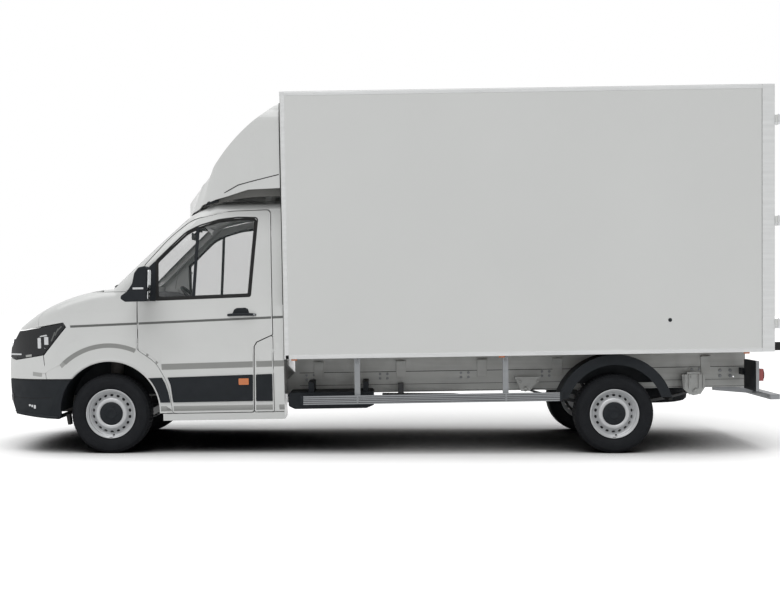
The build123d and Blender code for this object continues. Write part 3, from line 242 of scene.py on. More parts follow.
class Form:
    """Faces gathered for one piece, in millimetres of a given frame."""

    def __init__(self, place=at):
        self.place = place
        self.points = []
        self.faces = []

    def grid(self, rows, closed_rows=False, closed_columns=False):
        """Joins rows of points, each of the same length, with four-sided faces."""
        start, width = len(self.points), len(rows[0])
        for row in rows:
            self.points.extend(row)
        for r in range(len(rows) if closed_rows else len(rows) - 1):
            after = (r + 1) % len(rows)
            for c in range(width if closed_columns else width - 1):
                right = (c + 1) % width
                self.faces.append((start + r * width + c, start + r * width + right,
                                   start + after * width + right, start + after * width + c))
        return start

    def cap(self, indices):
        self.faces.append(tuple(indices))

    def block(self, x0, x1, y0, y1, z0, z1):
        self.prism(oblong(x0, x1, z0, z1), y0, y1)

    def prism(self, outline, y0, y1):
        """An outline in side view, given in x and z, carried from y0 to y1."""
        self.loft([[(x, y, z) for x, z in outline] for y in (y0, y1)])

    def loft(self, rows, ends=True):
        """A solid through a row of matching closed outlines."""
        start, width = self.grid(rows, closed_columns=True), len(rows[0])
        if ends:
            self.cap(start + k for k in range(width))
            self.cap(start + (len(rows) - 1) * width + k for k in range(width))

    def brick(self, corners):
        """A six-sided solid from eight corners, listed by three halvings."""
        start = len(self.points)
        self.points.extend(corners)
        for side in ((0, 1, 3, 2), (4, 6, 7, 5), (0, 4, 5, 1), (2, 3, 7, 6), (0, 2, 6, 4), (1, 5, 7, 3)):
            self.faces.append(tuple(start + corner for corner in side))

    def lathe(self, profile, centre, axis="y", steps=48, ring=False):
        """A profile of (radius, distance along the axis) turned about an axis, a ring if it is closed."""
        rows = []
        for i in range(steps):
            turn = 2 * math.pi * i / steps
            row = []
            for radius, along in profile:
                a, b = radius * math.cos(turn), radius * math.sin(turn)
                offset = {"x": (along, a, b), "y": (a, along, b), "z": (a, b, along)}[axis]
                row.append(tuple(c + o for c, o in zip(centre, offset)))
            rows.append(row)
        start = self.grid(rows, closed_rows=True, closed_columns=ring)
        width = len(profile)
        for column in () if ring else (0, width - 1):
            if profile[column][0] > 0.01:
                self.cap(start + r * width + column for r in range(steps))

    def tube(self, path, radius, steps=10):
        """A round bar along a path of points."""
        path = [Vector(p) for p in path]
        rows = []
        for i, here in enumerate(path):
            ahead = (path[min(i + 1, len(path) - 1)] - path[max(i - 1, 0)]).normalized()
            across = across - ahead * across.dot(ahead) if rows else ahead.orthogonal()
            across.normalize()
            up = ahead.cross(across)
            rows.append([tuple(here + (across * math.cos(t) + up * math.sin(t)) * radius)
                         for t in (2 * math.pi * k / steps for k in range(steps))])
        self.loft(rows)

    def piece(self, name, body, slot, bevel=0.0, segments=2, smooth=40, subsurf=0, finish=None):
        """Makes the gathered faces one object that rides on a body."""
        mesh = bpy.data.meshes.new(name)
        mesh.from_pydata([self.place(*p) for p in self.points], [], self.faces)
        mesh.materials.append(finish or FINISHES[slot])
        tidy = bmesh.new()
        tidy.from_mesh(mesh)
        bmesh.ops.remove_doubles(tidy, verts=tidy.verts, dist=1e-5)
        bmesh.ops.recalc_face_normals(tidy, faces=tidy.faces)
        tidy.to_mesh(mesh)
        tidy.free()
        made = bpy.data.objects.new(name, mesh)
        bpy.context.collection.objects.link(made)
        if bevel:
            edge = made.modifiers.new("edge", "BEVEL")
            edge.width = bevel / 1000
            edge.segments = segments
            edge.limit_method = "ANGLE"
            edge.angle_limit = math.radians(35)
        if subsurf:
            made.modifiers.new("smooth", "SUBSURF").levels = subsurf
            made.modifiers["smooth"].render_levels = subsurf
        mesh.shade_smooth()
        mesh.set_sharp_from_angle(angle=math.radians(smooth))
        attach(made, body)
        return made


def blocks(name, body, slot, *corners, **more):
    """One piece made of blocks, each given by its six limits."""
    form = Form()
    for limits in corners:
        form.block(*limits)
    return form.piece(name, body, slot, **more)


def moulding(name, body, slot, outline, y0, y1, **more):
    """One piece made of an outline in side view carried across."""
    form = Form()
    form.prism(outline, y0, y1)
    return form.piece(name, body, slot, **more)


BODY_OF = {node: body for body, nodes in frame["record"]["behaviour"]["bodies"].items() for node in nodes}


class Skin:
    """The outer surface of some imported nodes, to lay trim on."""

    def __init__(self, *names):
        points, faces = [], []
        for name in names:
            start = len(points)
            mesh = NODES[name].data
            points.extend(v.co.copy() for v in mesh.vertices)
            faces.extend(tuple(start + i for i in p.vertices) for p in mesh.polygons)
        self.tree = BVHTree.FromPolygons(points, faces)
        self.names = names

    def reach(self, x, y, z, direction):
        """The first point met from a place in the sprung body, looking along a direction."""
        start = at(x, y, z)
        heading = (at(x + direction[0], y + direction[1], z + direction[2]) - start).normalized()
        hit, normal, _, _ = self.tree.ray_cast(start, heading)
        if hit is None:
            return None
        if normal.dot(heading) > 0:
            normal = -normal
        return hit, normal

    def side(self, x, z, hand, out=0.0):
        """A point of the flank, moved out along its normal, in sprung-body millimetres."""
        found = self.reach(x, hand * 1400, z, (0, -hand, 0))
        return None if found is None else back(found[0] + found[1] * out / 1000)


def back(point):
    """The sprung body's own millimetres of a point in the row's frame."""
    x, z = point.x - HUB.x, point.z - HUB.z
    return (1000 * (x * math.cos(RAKE) + z * math.sin(RAKE)), 1000 * point.y,
            1000 * (-x * math.sin(RAKE) + z * math.cos(RAKE) + HUB.z))


def strip(form, skin, path, profile, hand, ends=True):
    """A closed band laid along a path on the flank.

    The profile lists (distance across, height off the skin); its back lies 1 mm under the skin."""
    rows = []
    for i, here in enumerate(path):
        before, after = path[max(i - 1, 0)], path[min(i + 1, len(path) - 1)]
        run = Vector((after[0] - before[0], after[1] - before[1])).normalized()
        across = Vector((-run.y, run.x))
        spots = [(here[0] + across.x * d, here[1] + across.y * d, h) for d, h in profile]
        top = [skin.side(x, z, hand, h) for x, z, h in spots]
        under = [skin.side(x, z, hand, -1) for x, z, h in reversed(spots)]
        if None in top or None in under:
            if len(rows) > 1:
                form.loft(rows, ends)
            rows = []
            continue
        rows.append(top + under)
    if len(rows) > 1:
        form.loft(rows, ends)


def along(points, step=20.0):
    """A path with extra points so that no run is longer than the step."""
    path = [points[0]]
    for a, b in zip(points, points[1:]):
        count = max(1, round(math.dist(a, b) / step))
        path.extend(tuple(p + (q - p) * i / count for p, q in zip(a, b)) for i in range(1, count + 1))
    return path


def rounded(corners, radii, steps=6):
    """A closed outline in side view with its corners rounded."""
    outline = []
    for i, here in enumerate(corners):
        here = Vector(here)
        before, after = Vector(corners[i - 1]), Vector(corners[(i + 1) % len(corners)])
        radius = radii[i] if isinstance(radii, (list, tuple)) else radii
        a, b = (before - here).normalized(), (after - here).normalized()
        half = a.angle(b) / 2
        if radius < 0.5 or half > 1.55:
            outline.append(tuple(here))
            continue
        reach = min(radius / math.tan(half), 0.49 * (before - here).length, 0.49 * (after - here).length)
        start, end = here + a * reach, here + b * reach
        for k in range(steps + 1):
            t = k / steps
            outline.append(tuple(start * (1 - t) ** 2 + here * 2 * t * (1 - t) + end * t ** 2))
    return outline


def oblong(x0, x1, z0, z1):
    return [(x0, z0), (x1, z0), (x1, z1), (x0, z1)]


def arc(radius, angles, centre=(0, ARCH_HEIGHT)):
    """Points round a centre in side view, at angles in degrees from straight back."""
    return [(centre[0] + radius * math.cos(math.radians(a)), centre[1] + radius * math.sin(math.radians(a)))
            for a in angles]


def panel(form, skin, outline, hand, out, step=60.0, under=-2.0, crown=0.0):
    """A sheet laid on the flank inside an outline, standing off it by out."""
    sheet = bmesh.new()
    rim = [sheet.verts.new((x, 0, z)) for x, z in outline]
    sheet.faces.new(rim)
    xs, zs = [p[0] for p in outline], [p[1] for p in outline]
    for low, high, normal in ((min(xs), max(xs), (1, 0, 0)), (min(zs), max(zs), (0, 0, 1))):
        cuts = max(1, round((high - low) / step))
        for i in range(1, cuts):
            spot = low + (high - low) * i / cuts
            bmesh.ops.bisect_plane(sheet, geom=sheet.verts[:] + sheet.edges[:] + sheet.faces[:],
                                   plane_co=Vector(normal) * spot, plane_no=normal)
    bmesh.ops.triangulate(sheet, faces=[f for f in sheet.faces if len(f.verts) > 4])
    sheet.verts.index_update()
    outer, inner = [], []
    for v in sheet.verts:
        outer.append(skin.side(v.co.x, v.co.z, hand, out))
        inner.append(skin.side(v.co.x, v.co.z, hand, under))
    lost = {i for i, (a, b) in enumerate(zip(outer, inner)) if a is None or b is None}
    keep = [f for f in sheet.faces if not any(v.index in lost for v in f.verts)]
    start, count = len(form.points), len(outer)
    form.points.extend(p or (0, 0, 0) for p in outer)
    form.points.extend(p or (0, 0, 0) for p in inner)
    kept = set(keep)
    for f in keep:
        indices = [v.index for v in f.verts]
        form.faces.append(tuple(start + i for i in indices))
        form.faces.append(tuple(start + count + i for i in reversed(indices)))
    for edge in sheet.edges:
        if sum(f in kept for f in edge.link_faces) == 1:
            a, b = (v.index for v in edge.verts)
            form.faces.append((start + a, start + b, start + count + b, start + count + a))
    sheet.free()


# ------------------------------------------------------------------ cab trim

DOORS = {LEFT: "door_left", RIGHT: "door_right"}
GLASS = {LEFT: "door_glass_left", RIGHT: "door_glass_right"}
SHELL = Skin("cab_body", "wings", "bumper", "bumper_upper", "headlamps", "fuel_flap", "bonnet")
DOOR_SKIN = {hand: Skin(DOORS[hand], GLASS[hand]) for hand in (LEFT, RIGHT)}
FLAP_SKIN = Skin("fuel_flap")

WINDOW_SEAL = [(-24, 1), (-22, 3), (5, 3), (9, 1.5)]
WINDOW = [(433, 1362), (433, 1698), (569, 1829), (705, 1955), (825, 2013), (997, 2062), (1168, 2080),
          (1335, 2074), (1265, 1383)]
CLADDING_TOP, CLADDING_RISE, CLADDING_FOOT = 668, 22, 449
CLADDING_PROUD = 7
SWAGE_RADIUS = 603
LAMP_PANEL = 5770
SILL_STEP = 394


def cladding_top(x):
    return CLADDING_TOP + CLADDING_RISE * (x - 300) / 1150


def cladding(hand):
    """Black guards low on the flanks: behind the arch, over the door and over the filler flap."""
    side = SIDE_NAMES[hand]
    lip = [p for p in ring_profile((0, ARCH_HEIGHT), ARCH_RADIUS + 14, 14, start=9, sweep=30)
           if CLADDING_FOOT < p[1] < cladding_top(p[0])]
    wing = Form()
    panel(wing, SHELL, [(452, CLADDING_FOOT)] + lip + [(345, cladding_top(345)),
          (470, cladding_top(470)), (497, 620), (522, 540), (538, CLADDING_FOOT)], hand, CLADDING_PROUD,
          step=24)
    wing.piece(f"arch_guard_{side}", "chassis", "dark_plastic", bevel=3)
    door = Form()
    panel(door, DOOR_SKIN[hand], rounded([(563, CLADDING_FOOT), (1272, CLADDING_FOOT + 2),
          (1278, cladding_top(1278)), (520, cladding_top(520)), (545, 604)], [8, 8, 8, 4, 60]),
          hand, CLADDING_PROUD)
    door.piece(f"door_guard_{side}", DOORS[hand], "dark_plastic", bevel=3)
    rear = Form()
    skin, body = (FLAP_SKIN, "fuel_flap") if hand == LEFT else (SHELL, "chassis")
    if hand == LEFT:
        low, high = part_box("fuel_flap")
        foot = max(CLADDING_FOOT, back(low)[2] + 8)
    else:
        foot = CLADDING_FOOT
    panel(rear, skin, rounded([(1300, foot), (1448, foot), (1449, cladding_top(1450)),
          (1304, cladding_top(1304))], 8), hand, CLADDING_PROUD)
    rear.piece(f"rear_guard_{side}", body, "dark_plastic", bevel=3)
    marker = Form()
    panel(marker, DOOR_SKIN[hand], rounded(oblong(1150, 1240, 598, 655), 7),
          hand, CLADDING_PROUD + 6)
    marker.piece(f"side_marker_{side}", DOORS[hand], "red_lamp", bevel=2.5, finish=AMBER)
    surround = Form()
    strip(surround, DOOR_SKIN[hand], along(rounded(oblong(1146, 1244, 594, 659), 9)
          + [(1155, 594)], 25), [(-5, 7), (-4, 9), (2, 9), (3, 7)], hand)
    surround.piece(f"side_marker_frame_{side}", DOORS[hand], "dark_plastic")


def crease(name, skin, body, path, hand, height, band, rise, finish):
    """A pressed body line: flush above, proud at its crest, then a short face back in below it, coloured with the
    given darker finish as painted shade.
    """
    swell = Form()
    strip(swell, skin, path, [(rise, 0.2), (rise * 0.55, height * 0.28), (rise * 0.2, height * 0.75),
                              (4, height), (0, height), (-2, height - 2), (-4, 0.4)], hand)
    swell.piece(name, body, "white_paint", smooth=60)
    under = Form()
    strip(under, skin, path, [(-0.5, height - 0.6), (-band * 0.35, height * 0.62), (-band * 0.8, 1.6),
                              (-band, 0.3)], hand)
    under.piece(f"{name}_return", body, "white_paint", smooth=60, finish=finish)


def shoulder(x):
    return 1137 + (x + 330) * 56 / 1884


def swage(x):
    return 792 + (x - 477) * 18 / 1068


def body_lines(hand):
    side = SIDE_NAMES[hand]
    flap = (FLAP_SKIN, "fuel_flap") if hand == LEFT else (SHELL, "chassis")
    # Each crease's face below its crest takes a darker finish as painted shade
    for part, skin, body, x0, x1 in (
        ("wing", SHELL, "chassis", -330, 259), ("door", DOOR_SKIN[hand], DOORS[hand], 275, 1448),
        ("pillar", SHELL, "chassis", 1463, 1552),
    ):
        path = along([(x0, shoulder(x0) + 11), (x1, shoulder(x1) + 11)], 30)
        crease(f"shoulder_{part}_{side}", skin, body, path, hand, 7, 21, 110, SHADOW_LINE_AND_FACET_GREY)
    # The swage starts at the bumper's corner, runs over the arch, then straight back
    arch = arc(SWAGE_RADIUS, range(140, 42, -2))
    start = along([(-690, 738), (-545, 722)], 30)
    crease(f"swage_front_{side}", SHELL, "chassis", start[:-1] + arch[2:6], hand, 4, 36, 60, FAINT_SHADE_AND_GUIDE_GREY)
    crease(f"swage_wing_{side}", SHELL, "chassis", [p for p in arch[4:] if p[0] < 262], hand, 9, 40, 90,
           PAINTED_SHADE)
    corner = arc(614, range(62, 42, -2))
    crease(f"swage_corner_{side}", DOOR_SKIN[hand], DOORS[hand], corner, hand, 4, 22, 60, PAINTED_SHADE)
    straight = along([(470, swage(470) + 2), (1278, swage(1278))], 30)
    crease(f"swage_door_{side}", DOOR_SKIN[hand], DOORS[hand], straight, hand, 11, 54, 150, PAINTED_SHADE)
    for part, skin, body, x0, x1 in (("flap", *flap, 1309, 1449), ("pillar", SHELL, "chassis", 1465, 1552)):
        path = along([(x0, swage(x0)), (x1, swage(x1))], 30)
        crease(f"swage_{part}_{side}", skin, body, path, hand, 11, 54, 150, PAINTED_SHADE)
    # A fine roll just outside the arch's lip, and the step along the sill, coloured grey as painted shade
    lip = arc(462, range(138, 44, -3))
    roll = Form()
    strip(roll, SHELL, lip, [(3, 0.2), (1, 2.2), (-1, 2.2), (-16, 5), (-20, 0.4)], hand)
    roll.piece(f"arch_roll_{side}", "chassis", "white_paint", smooth=60)
    for part, skin, body, x0, x1 in (
        ("door", DOOR_SKIN[hand], DOORS[hand], 566, 1274), ("flap", *flap, 1299, 1446),
        ("pillar", SHELL, "chassis", 1463, 1552), ("wing", SHELL, "chassis", 452, 548),
    ):
        path = along([(x0, SILL_STEP), (x1, SILL_STEP)], 40)
        step = Form()
        strip(step, skin, path, [(22, 0.3), (20, 3.2), (-12, 2.2), (-24, 0.3)], hand)
        step.piece(f"sill_step_{part}_{side}", body, "white_paint", smooth=60, finish=PAINTED_SHADE)
    foot = Form()
    strip(foot, SHELL, along([(470, 352), (1548, 352)], 40), [(-3, 0.2), (-2, 1.6), (2, 1.6), (3, 0.2)],
          hand)
    foot.piece(f"sill_line_{side}", "chassis", "rubber", finish=SEAM)


def window_trim(hand):
    """Black rubber round the side window, with the quarter-light's bar."""
    side = SIDE_NAMES[hand]
    outline = rounded(WINDOW, [14, 60, 120, 260, 300, 320, 200, 22, 16], 5)
    rim = Form()
    strip(rim, DOOR_SKIN[hand], along(outline + outline[:2], 40), WINDOW_SEAL, hand)
    rim.piece(f"window_seal_{side}", DOORS[hand], "rubber", smooth=60)
    bar = Form()
    strip(bar, DOOR_SKIN[hand], along([(764, 1372), (811, 2004)], 60),
          [(-14, 1), (-12, 5), (12, 5), (14, 1)], hand)
    bar.piece(f"window_bar_{side}", DOORS[hand], "dark_plastic")
    sail = Form()
    panel(sail, DOOR_SKIN[hand], rounded([(284, 1356), (431, 1350), (431, 1706), (318, 1600)],
                                         [12, 4, 4, 30]),
          hand, 7, step=30)
    sail.piece(f"mirror_base_{side}", DOORS[hand], "dark_plastic", bevel=3)


def door_handle(hand):
    """A finger cup with a bar grip across it and a key barrel at its back end."""
    side, skin, body = SIDE_NAMES[hand], DOOR_SKIN[hand], DOORS[hand]
    cup = Form()
    panel(cup, skin,
          rounded([(1100, 1212), (1262, 1214), (1246, 1268), (1222, 1280), (1146, 1278), (1122, 1264)],
                             [10, 10, 16, 20, 20, 16]), hand, 5, step=40)
    cup.piece(f"handle_cup_{side}", body, "dark_plastic", bevel=2.5)
    grip = Form()
    rows, steps = [], 14
    for i in range(21):
        t = i / 20
        x = 1062 + 256 * t
        out = 6 + 24 * math.sin(math.pi * t) ** 0.5
        centre = skin.side(x, 1217 + 4 * math.sin(math.pi * t), hand, out)
        swell = 8 + 6 * math.sin(math.pi * t) ** 0.4
        rows.append([(centre[0], centre[1] + hand * 0.6 * swell * math.cos(a),
                      centre[2] + swell * math.sin(a))
                     for a in (2 * math.pi * k / steps for k in range(steps))])
    grip.loft(rows)
    grip.piece(f"handle_grip_{side}", body, "dark_plastic", smooth=60)
    lock = Form()
    lock.lathe([(0.0, hand * 9), (8, hand * 9), (9.5, hand * 7), (12, hand * 2), (12, 0)],
               skin.side(1302, 1219, hand, 18), "y", 24)
    lock.piece(f"key_barrel_{side}", body, "alu")


AMBER = glazing("amber_lamp", (0.62, 0.16, 0.02), 1.0)
CHROME = rolled("bright_metal", (0.75, 0.76, 0.78), 0.16, 0.95)
MIRROR_GLASS = painted("mirror_glass", (0.8, 0.82, 0.83), 0.03, Metallic=1.0)
# Painted shade: mid grey for the faces under the creases and for the sill step
PAINTED_SHADE = painted("painted_shade", (0.30, 0.305, 0.295), 0.5, tone=0.05)
# Pale grey: painted shade under the front swage, and the light guide's own grey in the headlamp
FAINT_SHADE_AND_GUIDE_GREY = painted("faint_shade_and_guide_grey", (0.39, 0.395, 0.385), 0.5, tone=0.05)
# Painted shade: dark grey for the fairing's return
PAINTED_RETURN_SHADE = painted("painted_return_shade", (0.20, 0.20, 0.19), 0.6, tone=0.1)
# Dark grey: painted shadow along the shoulder line, and the own colour of the lamp facets
SHADOW_LINE_AND_FACET_GREY = painted("shadow_line_and_facet_grey", (0.125, 0.13, 0.125), 0.5, tone=0.05)
REFLECTOR = painted("reflector", (0.62, 0.63, 0.64), 0.25, Metallic=0.3)
LENS_EDGE = glazing("lens_edge", (0.003, 0.003, 0.0035), 1.0, 0.0, 0.2)
SEAM = grained("seam", (0.012, 0.012, 0.013), 0.7)


def nose(skin, y, z, out=0.0):
    """A point of the front, met from ahead and moved out along its normal."""
    found = skin.reach(-1500, y, z, (1, 0, 0))
    return None if found is None else back(found[0] + found[1] * out / 1000)


def nose_patch(form, skin, ys, low, high, out, under=-3.0, steps=6):
    """A raised patch on the front, between two heights that may vary across it."""
    rows = []
    for i, y in enumerate(ys):
        t = i / max(1, len(ys) - 1)
        z0, z1 = low(t), high(t)
        heights = [z0 + (z1 - z0) * k / steps for k in range(steps + 1)]
        face = [nose(skin, y, z, out) for z in heights]
        rear = [nose(skin, y, z, under) for z in reversed(heights)]
        if None in face or None in rear:
            continue
        rows.append(face + rear)
    if len(rows) > 1:
        form.loft(rows)


def spread(a, b, count):
    return [a + (b - a) * i / (count - 1) for i in range(count)]


NODES["grille"].material_slots[0].material = LENS_EDGE
LAMPS = Skin("headlamps")
GRILLE = Skin("grille")
BUMPER = Skin("bumper")
GLASS_FRONT = Skin("windscreen", "cab_body")


def headlamp(hand):
    """What shows in the lamp: bright tubes, a light guide along its foot and a black surround."""
    side = SIDE_NAMES[hand]
    bars = Form()
    for x0, x1, z0, z1 in ((-634, -603, 946, 1040), (-570, -532, 944, 1048)):
        panel(bars, LAMPS, rounded(oblong(x0, x1, z0, z1), 8, 3), hand, 4, step=30)
    panel(bars, LAMPS, rounded([(-618, 1046), (-540, 1056), (-548, 1068), (-604, 1058)], 4, 3), hand, 4,
          step=30)
    bars.piece(f"lamp_tubes_{side}", "chassis", "lamp", bevel=1.5, finish=REFLECTOR)
    guide = Form()
    strip(guide, LAMPS, along([(-760, 876), (-600, 896)], 20), [(-10, 0.4), (-8, 2.5), (8, 2.5), (10, 0.4)],
          hand)
    guide.piece(f"light_guide_{side}", "chassis", "lamp", finish=FAINT_SHADE_AND_GUIDE_GREY)
    facets = Form()
    for a, b in (((-452, 1098), (-408, 1140)), ((-470, 1060), (-440, 1120)), ((-505, 1010), (-470, 1090))):
        strip(facets, LAMPS, along([a, b], 15), [(-5, 0.3), (-3, 2), (3, 2), (5, 0.3)], hand)
    facets.piece(f"lamp_facets_{side}", "chassis", "lamp", finish=SHADOW_LINE_AND_FACET_GREY)
    edge = Form()
    outline = rounded([(-871, 846), (-587, 890), (-376, 1134), (-396, 1167), (-772, 1104)],
                      [20, 60, 8, 8, 20], 5)
    strip(edge, LAMPS, along(outline[2:-3], 25), [(-2, 0.3), (0, 2), (11, 2), (13, 0.3)], hand)
    edge.piece(f"lamp_surround_{side}", "chassis", "lamp", finish=LENS_EDGE)
    beams, eyes = Form(), Form()
    for y in (620, 760):
        found = LAMPS.reach(-1500, hand * y, 985, (1, 0, 0))
        if found:
            x = back(found[0])[0]
            beams.lathe([(0, -9), (34, -9), (38, -6), (44, -2), (44, 8), (0, 8)], (x, hand * y, 985), "x",
                        32)
            eyes.lathe([(0, -16), (12, -15.4), (22, -13.5), (29, -10.5), (30, -6), (0, -6)],
                       (x, hand * y, 985), "x", 32)
    beams.piece(f"lamp_beams_{side}", "chassis", "lamp", smooth=30, finish=CHROME)
    eyes.piece(f"lamp_eyes_{side}", "chassis", "lamp", smooth=60, finish=LENS_EDGE)
    strip_light = Form()
    nose_patch(strip_light, LAMPS, [hand * v for v in spread(500, 880, 16)],
               lambda t: 882 + 3 * t, lambda t: 896 + 3 * t, 3)
    strip_light.piece(f"day_lamp_{side}", "chassis", "lamp", bevel=1.5, finish=REFLECTOR)


def front_end():
    """What the nose carries besides its lamps."""
    slats = Form()
    for k in range(5):
        middle = 857 + k * 52
        nose_patch(slats, GRILLE, spread(-466, 466, 41), lambda t: middle - 8, lambda t: middle + 8, 3, 0)
    slats.piece("grille_slats", "chassis", "dark_plastic", bevel=2)
    bright = Form()
    nose_patch(bright, GRILLE, spread(-470, 470, 41), lambda t: 1074, lambda t: 1082, 5, 0)
    nose_patch(bright, GRILLE, spread(-470, 470, 41), lambda t: 966, lambda t: 972, 5, 0)
    bright.piece("grille_bright_bars", "chassis", "alu", finish=CHROME)
    for hand in (LEFT, RIGHT):
        side = SIDE_NAMES[hand]
        fog = Form()
        nose_patch(fog, BUMPER, [hand * v for v in spread(660, 800, 9)], lambda t: 455, lambda t: 540, 3)
        fog.piece(f"fog_lamp_{side}", "chassis", "lamp", bevel=4, finish=LENS_EDGE)
        glass = Form()
        nose_patch(glass, BUMPER, [hand * v for v in spread(690, 770, 9)], lambda t: 470, lambda t: 525, 6,
                   2)
        glass.piece(f"fog_lens_{side}", "chassis", "lamp", bevel=4, finish=REFLECTOR)
        bits = Form()
        for x0, x1, z0, z1 in ((-742, -722, 428, 446), (-716, -700, 420, 442), (-692, -672, 408, 440)):
            panel(bits, BUMPER, rounded(oblong(x0, x1, z0, z1), 5, 3), hand, 4, step=20)
        bits.piece(f"corner_lamp_{side}", "chassis", "lamp", bevel=1.5, finish=REFLECTOR)
        groove = Form()
        strip(groove, BUMPER, along([(-905, 505), (-700, 500), (-520, 508)], 25),
              [(-3, 0.2), (-2, 1.4), (2, 1.4), (3, 0.2)], hand)
        strip(groove, BUMPER, along([(-900, 660), (-345, 660)], 25),
              [(-2, 0.2), (-1, 1.4), (1, 1.4), (2, 0.2)], hand)
        groove.piece(f"bumper_lines_{side}", "chassis", "rubber", finish=SEAM)
        lip = Form()
        strip(lip, BUMPER, along([(-900, 372), (-660, 344), (-470, 328)], 25),
              [(-10, 0.5), (-8, 9), (4, 12), (10, 6), (14, 0.5)], hand)
        lip.piece(f"bumper_lip_{side}", "chassis", "dark_plastic", smooth=60)
    bars = Form()
    for z in (498, 526, 554, 582):
        bars.tube([(-985 + 24 * (y / 420) ** 2, y, z) for y in spread(-418, 418, 17)], 6, 8)
    for y in spread(-400, 400, 9):
        bars.tube([(-972 + 24 * (y / 420) ** 2, y, 472), (-972 + 24 * (y / 420) ** 2, y, 608)], 4, 6)
    bars.piece("intake_grid", "chassis", "dark_plastic", smooth=60)
    frame_band = Form()
    nose_patch(frame_band, BUMPER, spread(-520, 520, 41), lambda t: 612, lambda t: 640, 4)
    nose_patch(frame_band, BUMPER, spread(-520, 520, 41), lambda t: 436, lambda t: 462, 4)
    frame_band.piece("intake_frame", "chassis", "dark_plastic", bevel=2)
    blank = Form()
    nose_patch(blank, BUMPER, spread(-262, 262, 21), lambda t: 395, lambda t: 432, 5)
    blank.piece("plate_plinth", "chassis", "dark_plastic", bevel=2)


def screen(y, z, out):
    """A point of the windscreen met from ahead."""
    found = GLASS_FRONT.reach(-900, y, z, (1, 0, 0))
    return None if found is None else back(found[0] + found[1] * out / 1000)


def ribbon(form, path, width, height):
    """A flat bar along a path that lies on the glass, given as (y, z) and standing off it."""
    rows = []
    for i, (y, z) in enumerate(path):
        b, a = path[min(i + 1, len(path) - 1)], path[max(i - 1, 0)]
        run = Vector((b[0] - a[0], b[1] - a[1])).normalized()
        dy, dz = -run.y * width / 2, run.x * width / 2
        low, high = height if isinstance(height, tuple) else (0.5, height)
        rows.append([screen(y + dy, z + dz, low), screen(y + dy, z + dz, high),
                     screen(y - dy, z - dz, high), screen(y - dy, z - dz, low)])
    rows = [r for r in rows if None not in r]
    if len(rows) > 1:
        form.loft(rows)


def windscreen_fittings():
    band = Form()
    edge = [(-893, 1503), (893, 1503), (790, 2066), (-790, 2066)]
    loop = along(edge + edge[:2], 40)
    ribbon(band, loop, 44, 1.6)
    band.piece("windscreen_border", "chassis", "rubber", finish=LENS_EDGE)
    for index, (foot, tip) in enumerate((((-560, 1478), (150, 1530)), ((60, 1478), (780, 1530)))):
        arm = Form()
        reach = along([foot, tip], 60)
        ribbon(arm, reach[: len(reach) // 2 + 2], 14, (10, 20))
        arm.piece(f"wiper_arm_{index}", "chassis", "dark_plastic", bevel=2)
        blade = Form()
        ribbon(blade, along([(foot[0] + 60, foot[1] + 14), tip], 60), 7, (2, 14))
        blade.piece(f"wiper_blade_{index}", "chassis", "rubber", bevel=1)
    cowl = Form()
    for y in spread(-780, 780, 27):
        ribbon(cowl, [(y, 1466), (y, 1486)], 30, 3)
    cowl.piece("cowl_slats", "chassis", "dark_plastic", bevel=1)
    blocks("sensor_housing", "chassis", "cabin_plastic", (660, 712, -60, 60, 2000, 2060), bevel=8)
    mirror = Form()
    mirror.block(630, 646, -125, 125, 1925, 1990)
    mirror.tube([(650, 0, 1985), (690, 0, 2030)], 9, 10)
    mirror.piece("inside_mirror", "chassis", "cabin_plastic", bevel=6)


def outside_mirror(hand):
    """A rounded head in place of the plain one, on its arm, with two glasses and a side repeater."""
    side, body = SIDE_NAMES[hand], DOORS[hand]
    head = Form()
    head.prism(rounded([(183, 1376), (222, 1350), (408, 1352), (420, 1632), (396, 1656), (342, 1644),
                        (306, 1596),
                        (286, 1506), (240, 1440), (186, 1402)], [14, 14, 20, 24, 20, 30, 30, 30, 30, 12],
                       5),
               hand * 1164, hand * 1337)
    shell = head.piece(f"mirror_head_{side}", body, "dark_plastic", bevel=20, segments=4)
    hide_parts(f"mirror_{side}")
    arm = Form()
    for z in (1398, 1438):
        arm.tube([(338, hand * 985, z), (330, hand * 1080, z), (322, hand * 1180, z)], 17, 16)
    arm.piece(f"mirror_arm_{side}", body, "dark_plastic", smooth=60)
    glass = Form()
    for z0, z1 in ((1462, 1622), (1370, 1446)):
        outline = rounded(oblong(1188, 1314, z0, z1), 18, 4)
        glass.loft([[(x + (z - 1352) * 0.042, hand * y, z) for y, z in outline] for x in (411, 415)])
    glass.piece(f"mirror_glass_{side}", body, "glass", finish=MIRROR_GLASS)
    blocks(f"side_repeater_{side}", body, "lamp",
           (292, 384, hand * 1334, hand * 1339.6, 1456, 1472), bevel=1.2, finish=REFLECTOR)
    moulding(f"mirror_joint_{side}", body, "rubber",
             [(236, 1448), (414, 1450), (414, 1453), (238, 1451)], hand * 1172, hand * 1337.8, finish=SEAM)


for hand in (LEFT, RIGHT):
    headlamp(hand)
    outside_mirror(hand)
    cladding(hand)
    body_lines(hand)
    window_trim(hand)
    door_handle(hand)

front_end()
windscreen_fittings()

# ------------------------------------------------------------------ wheels


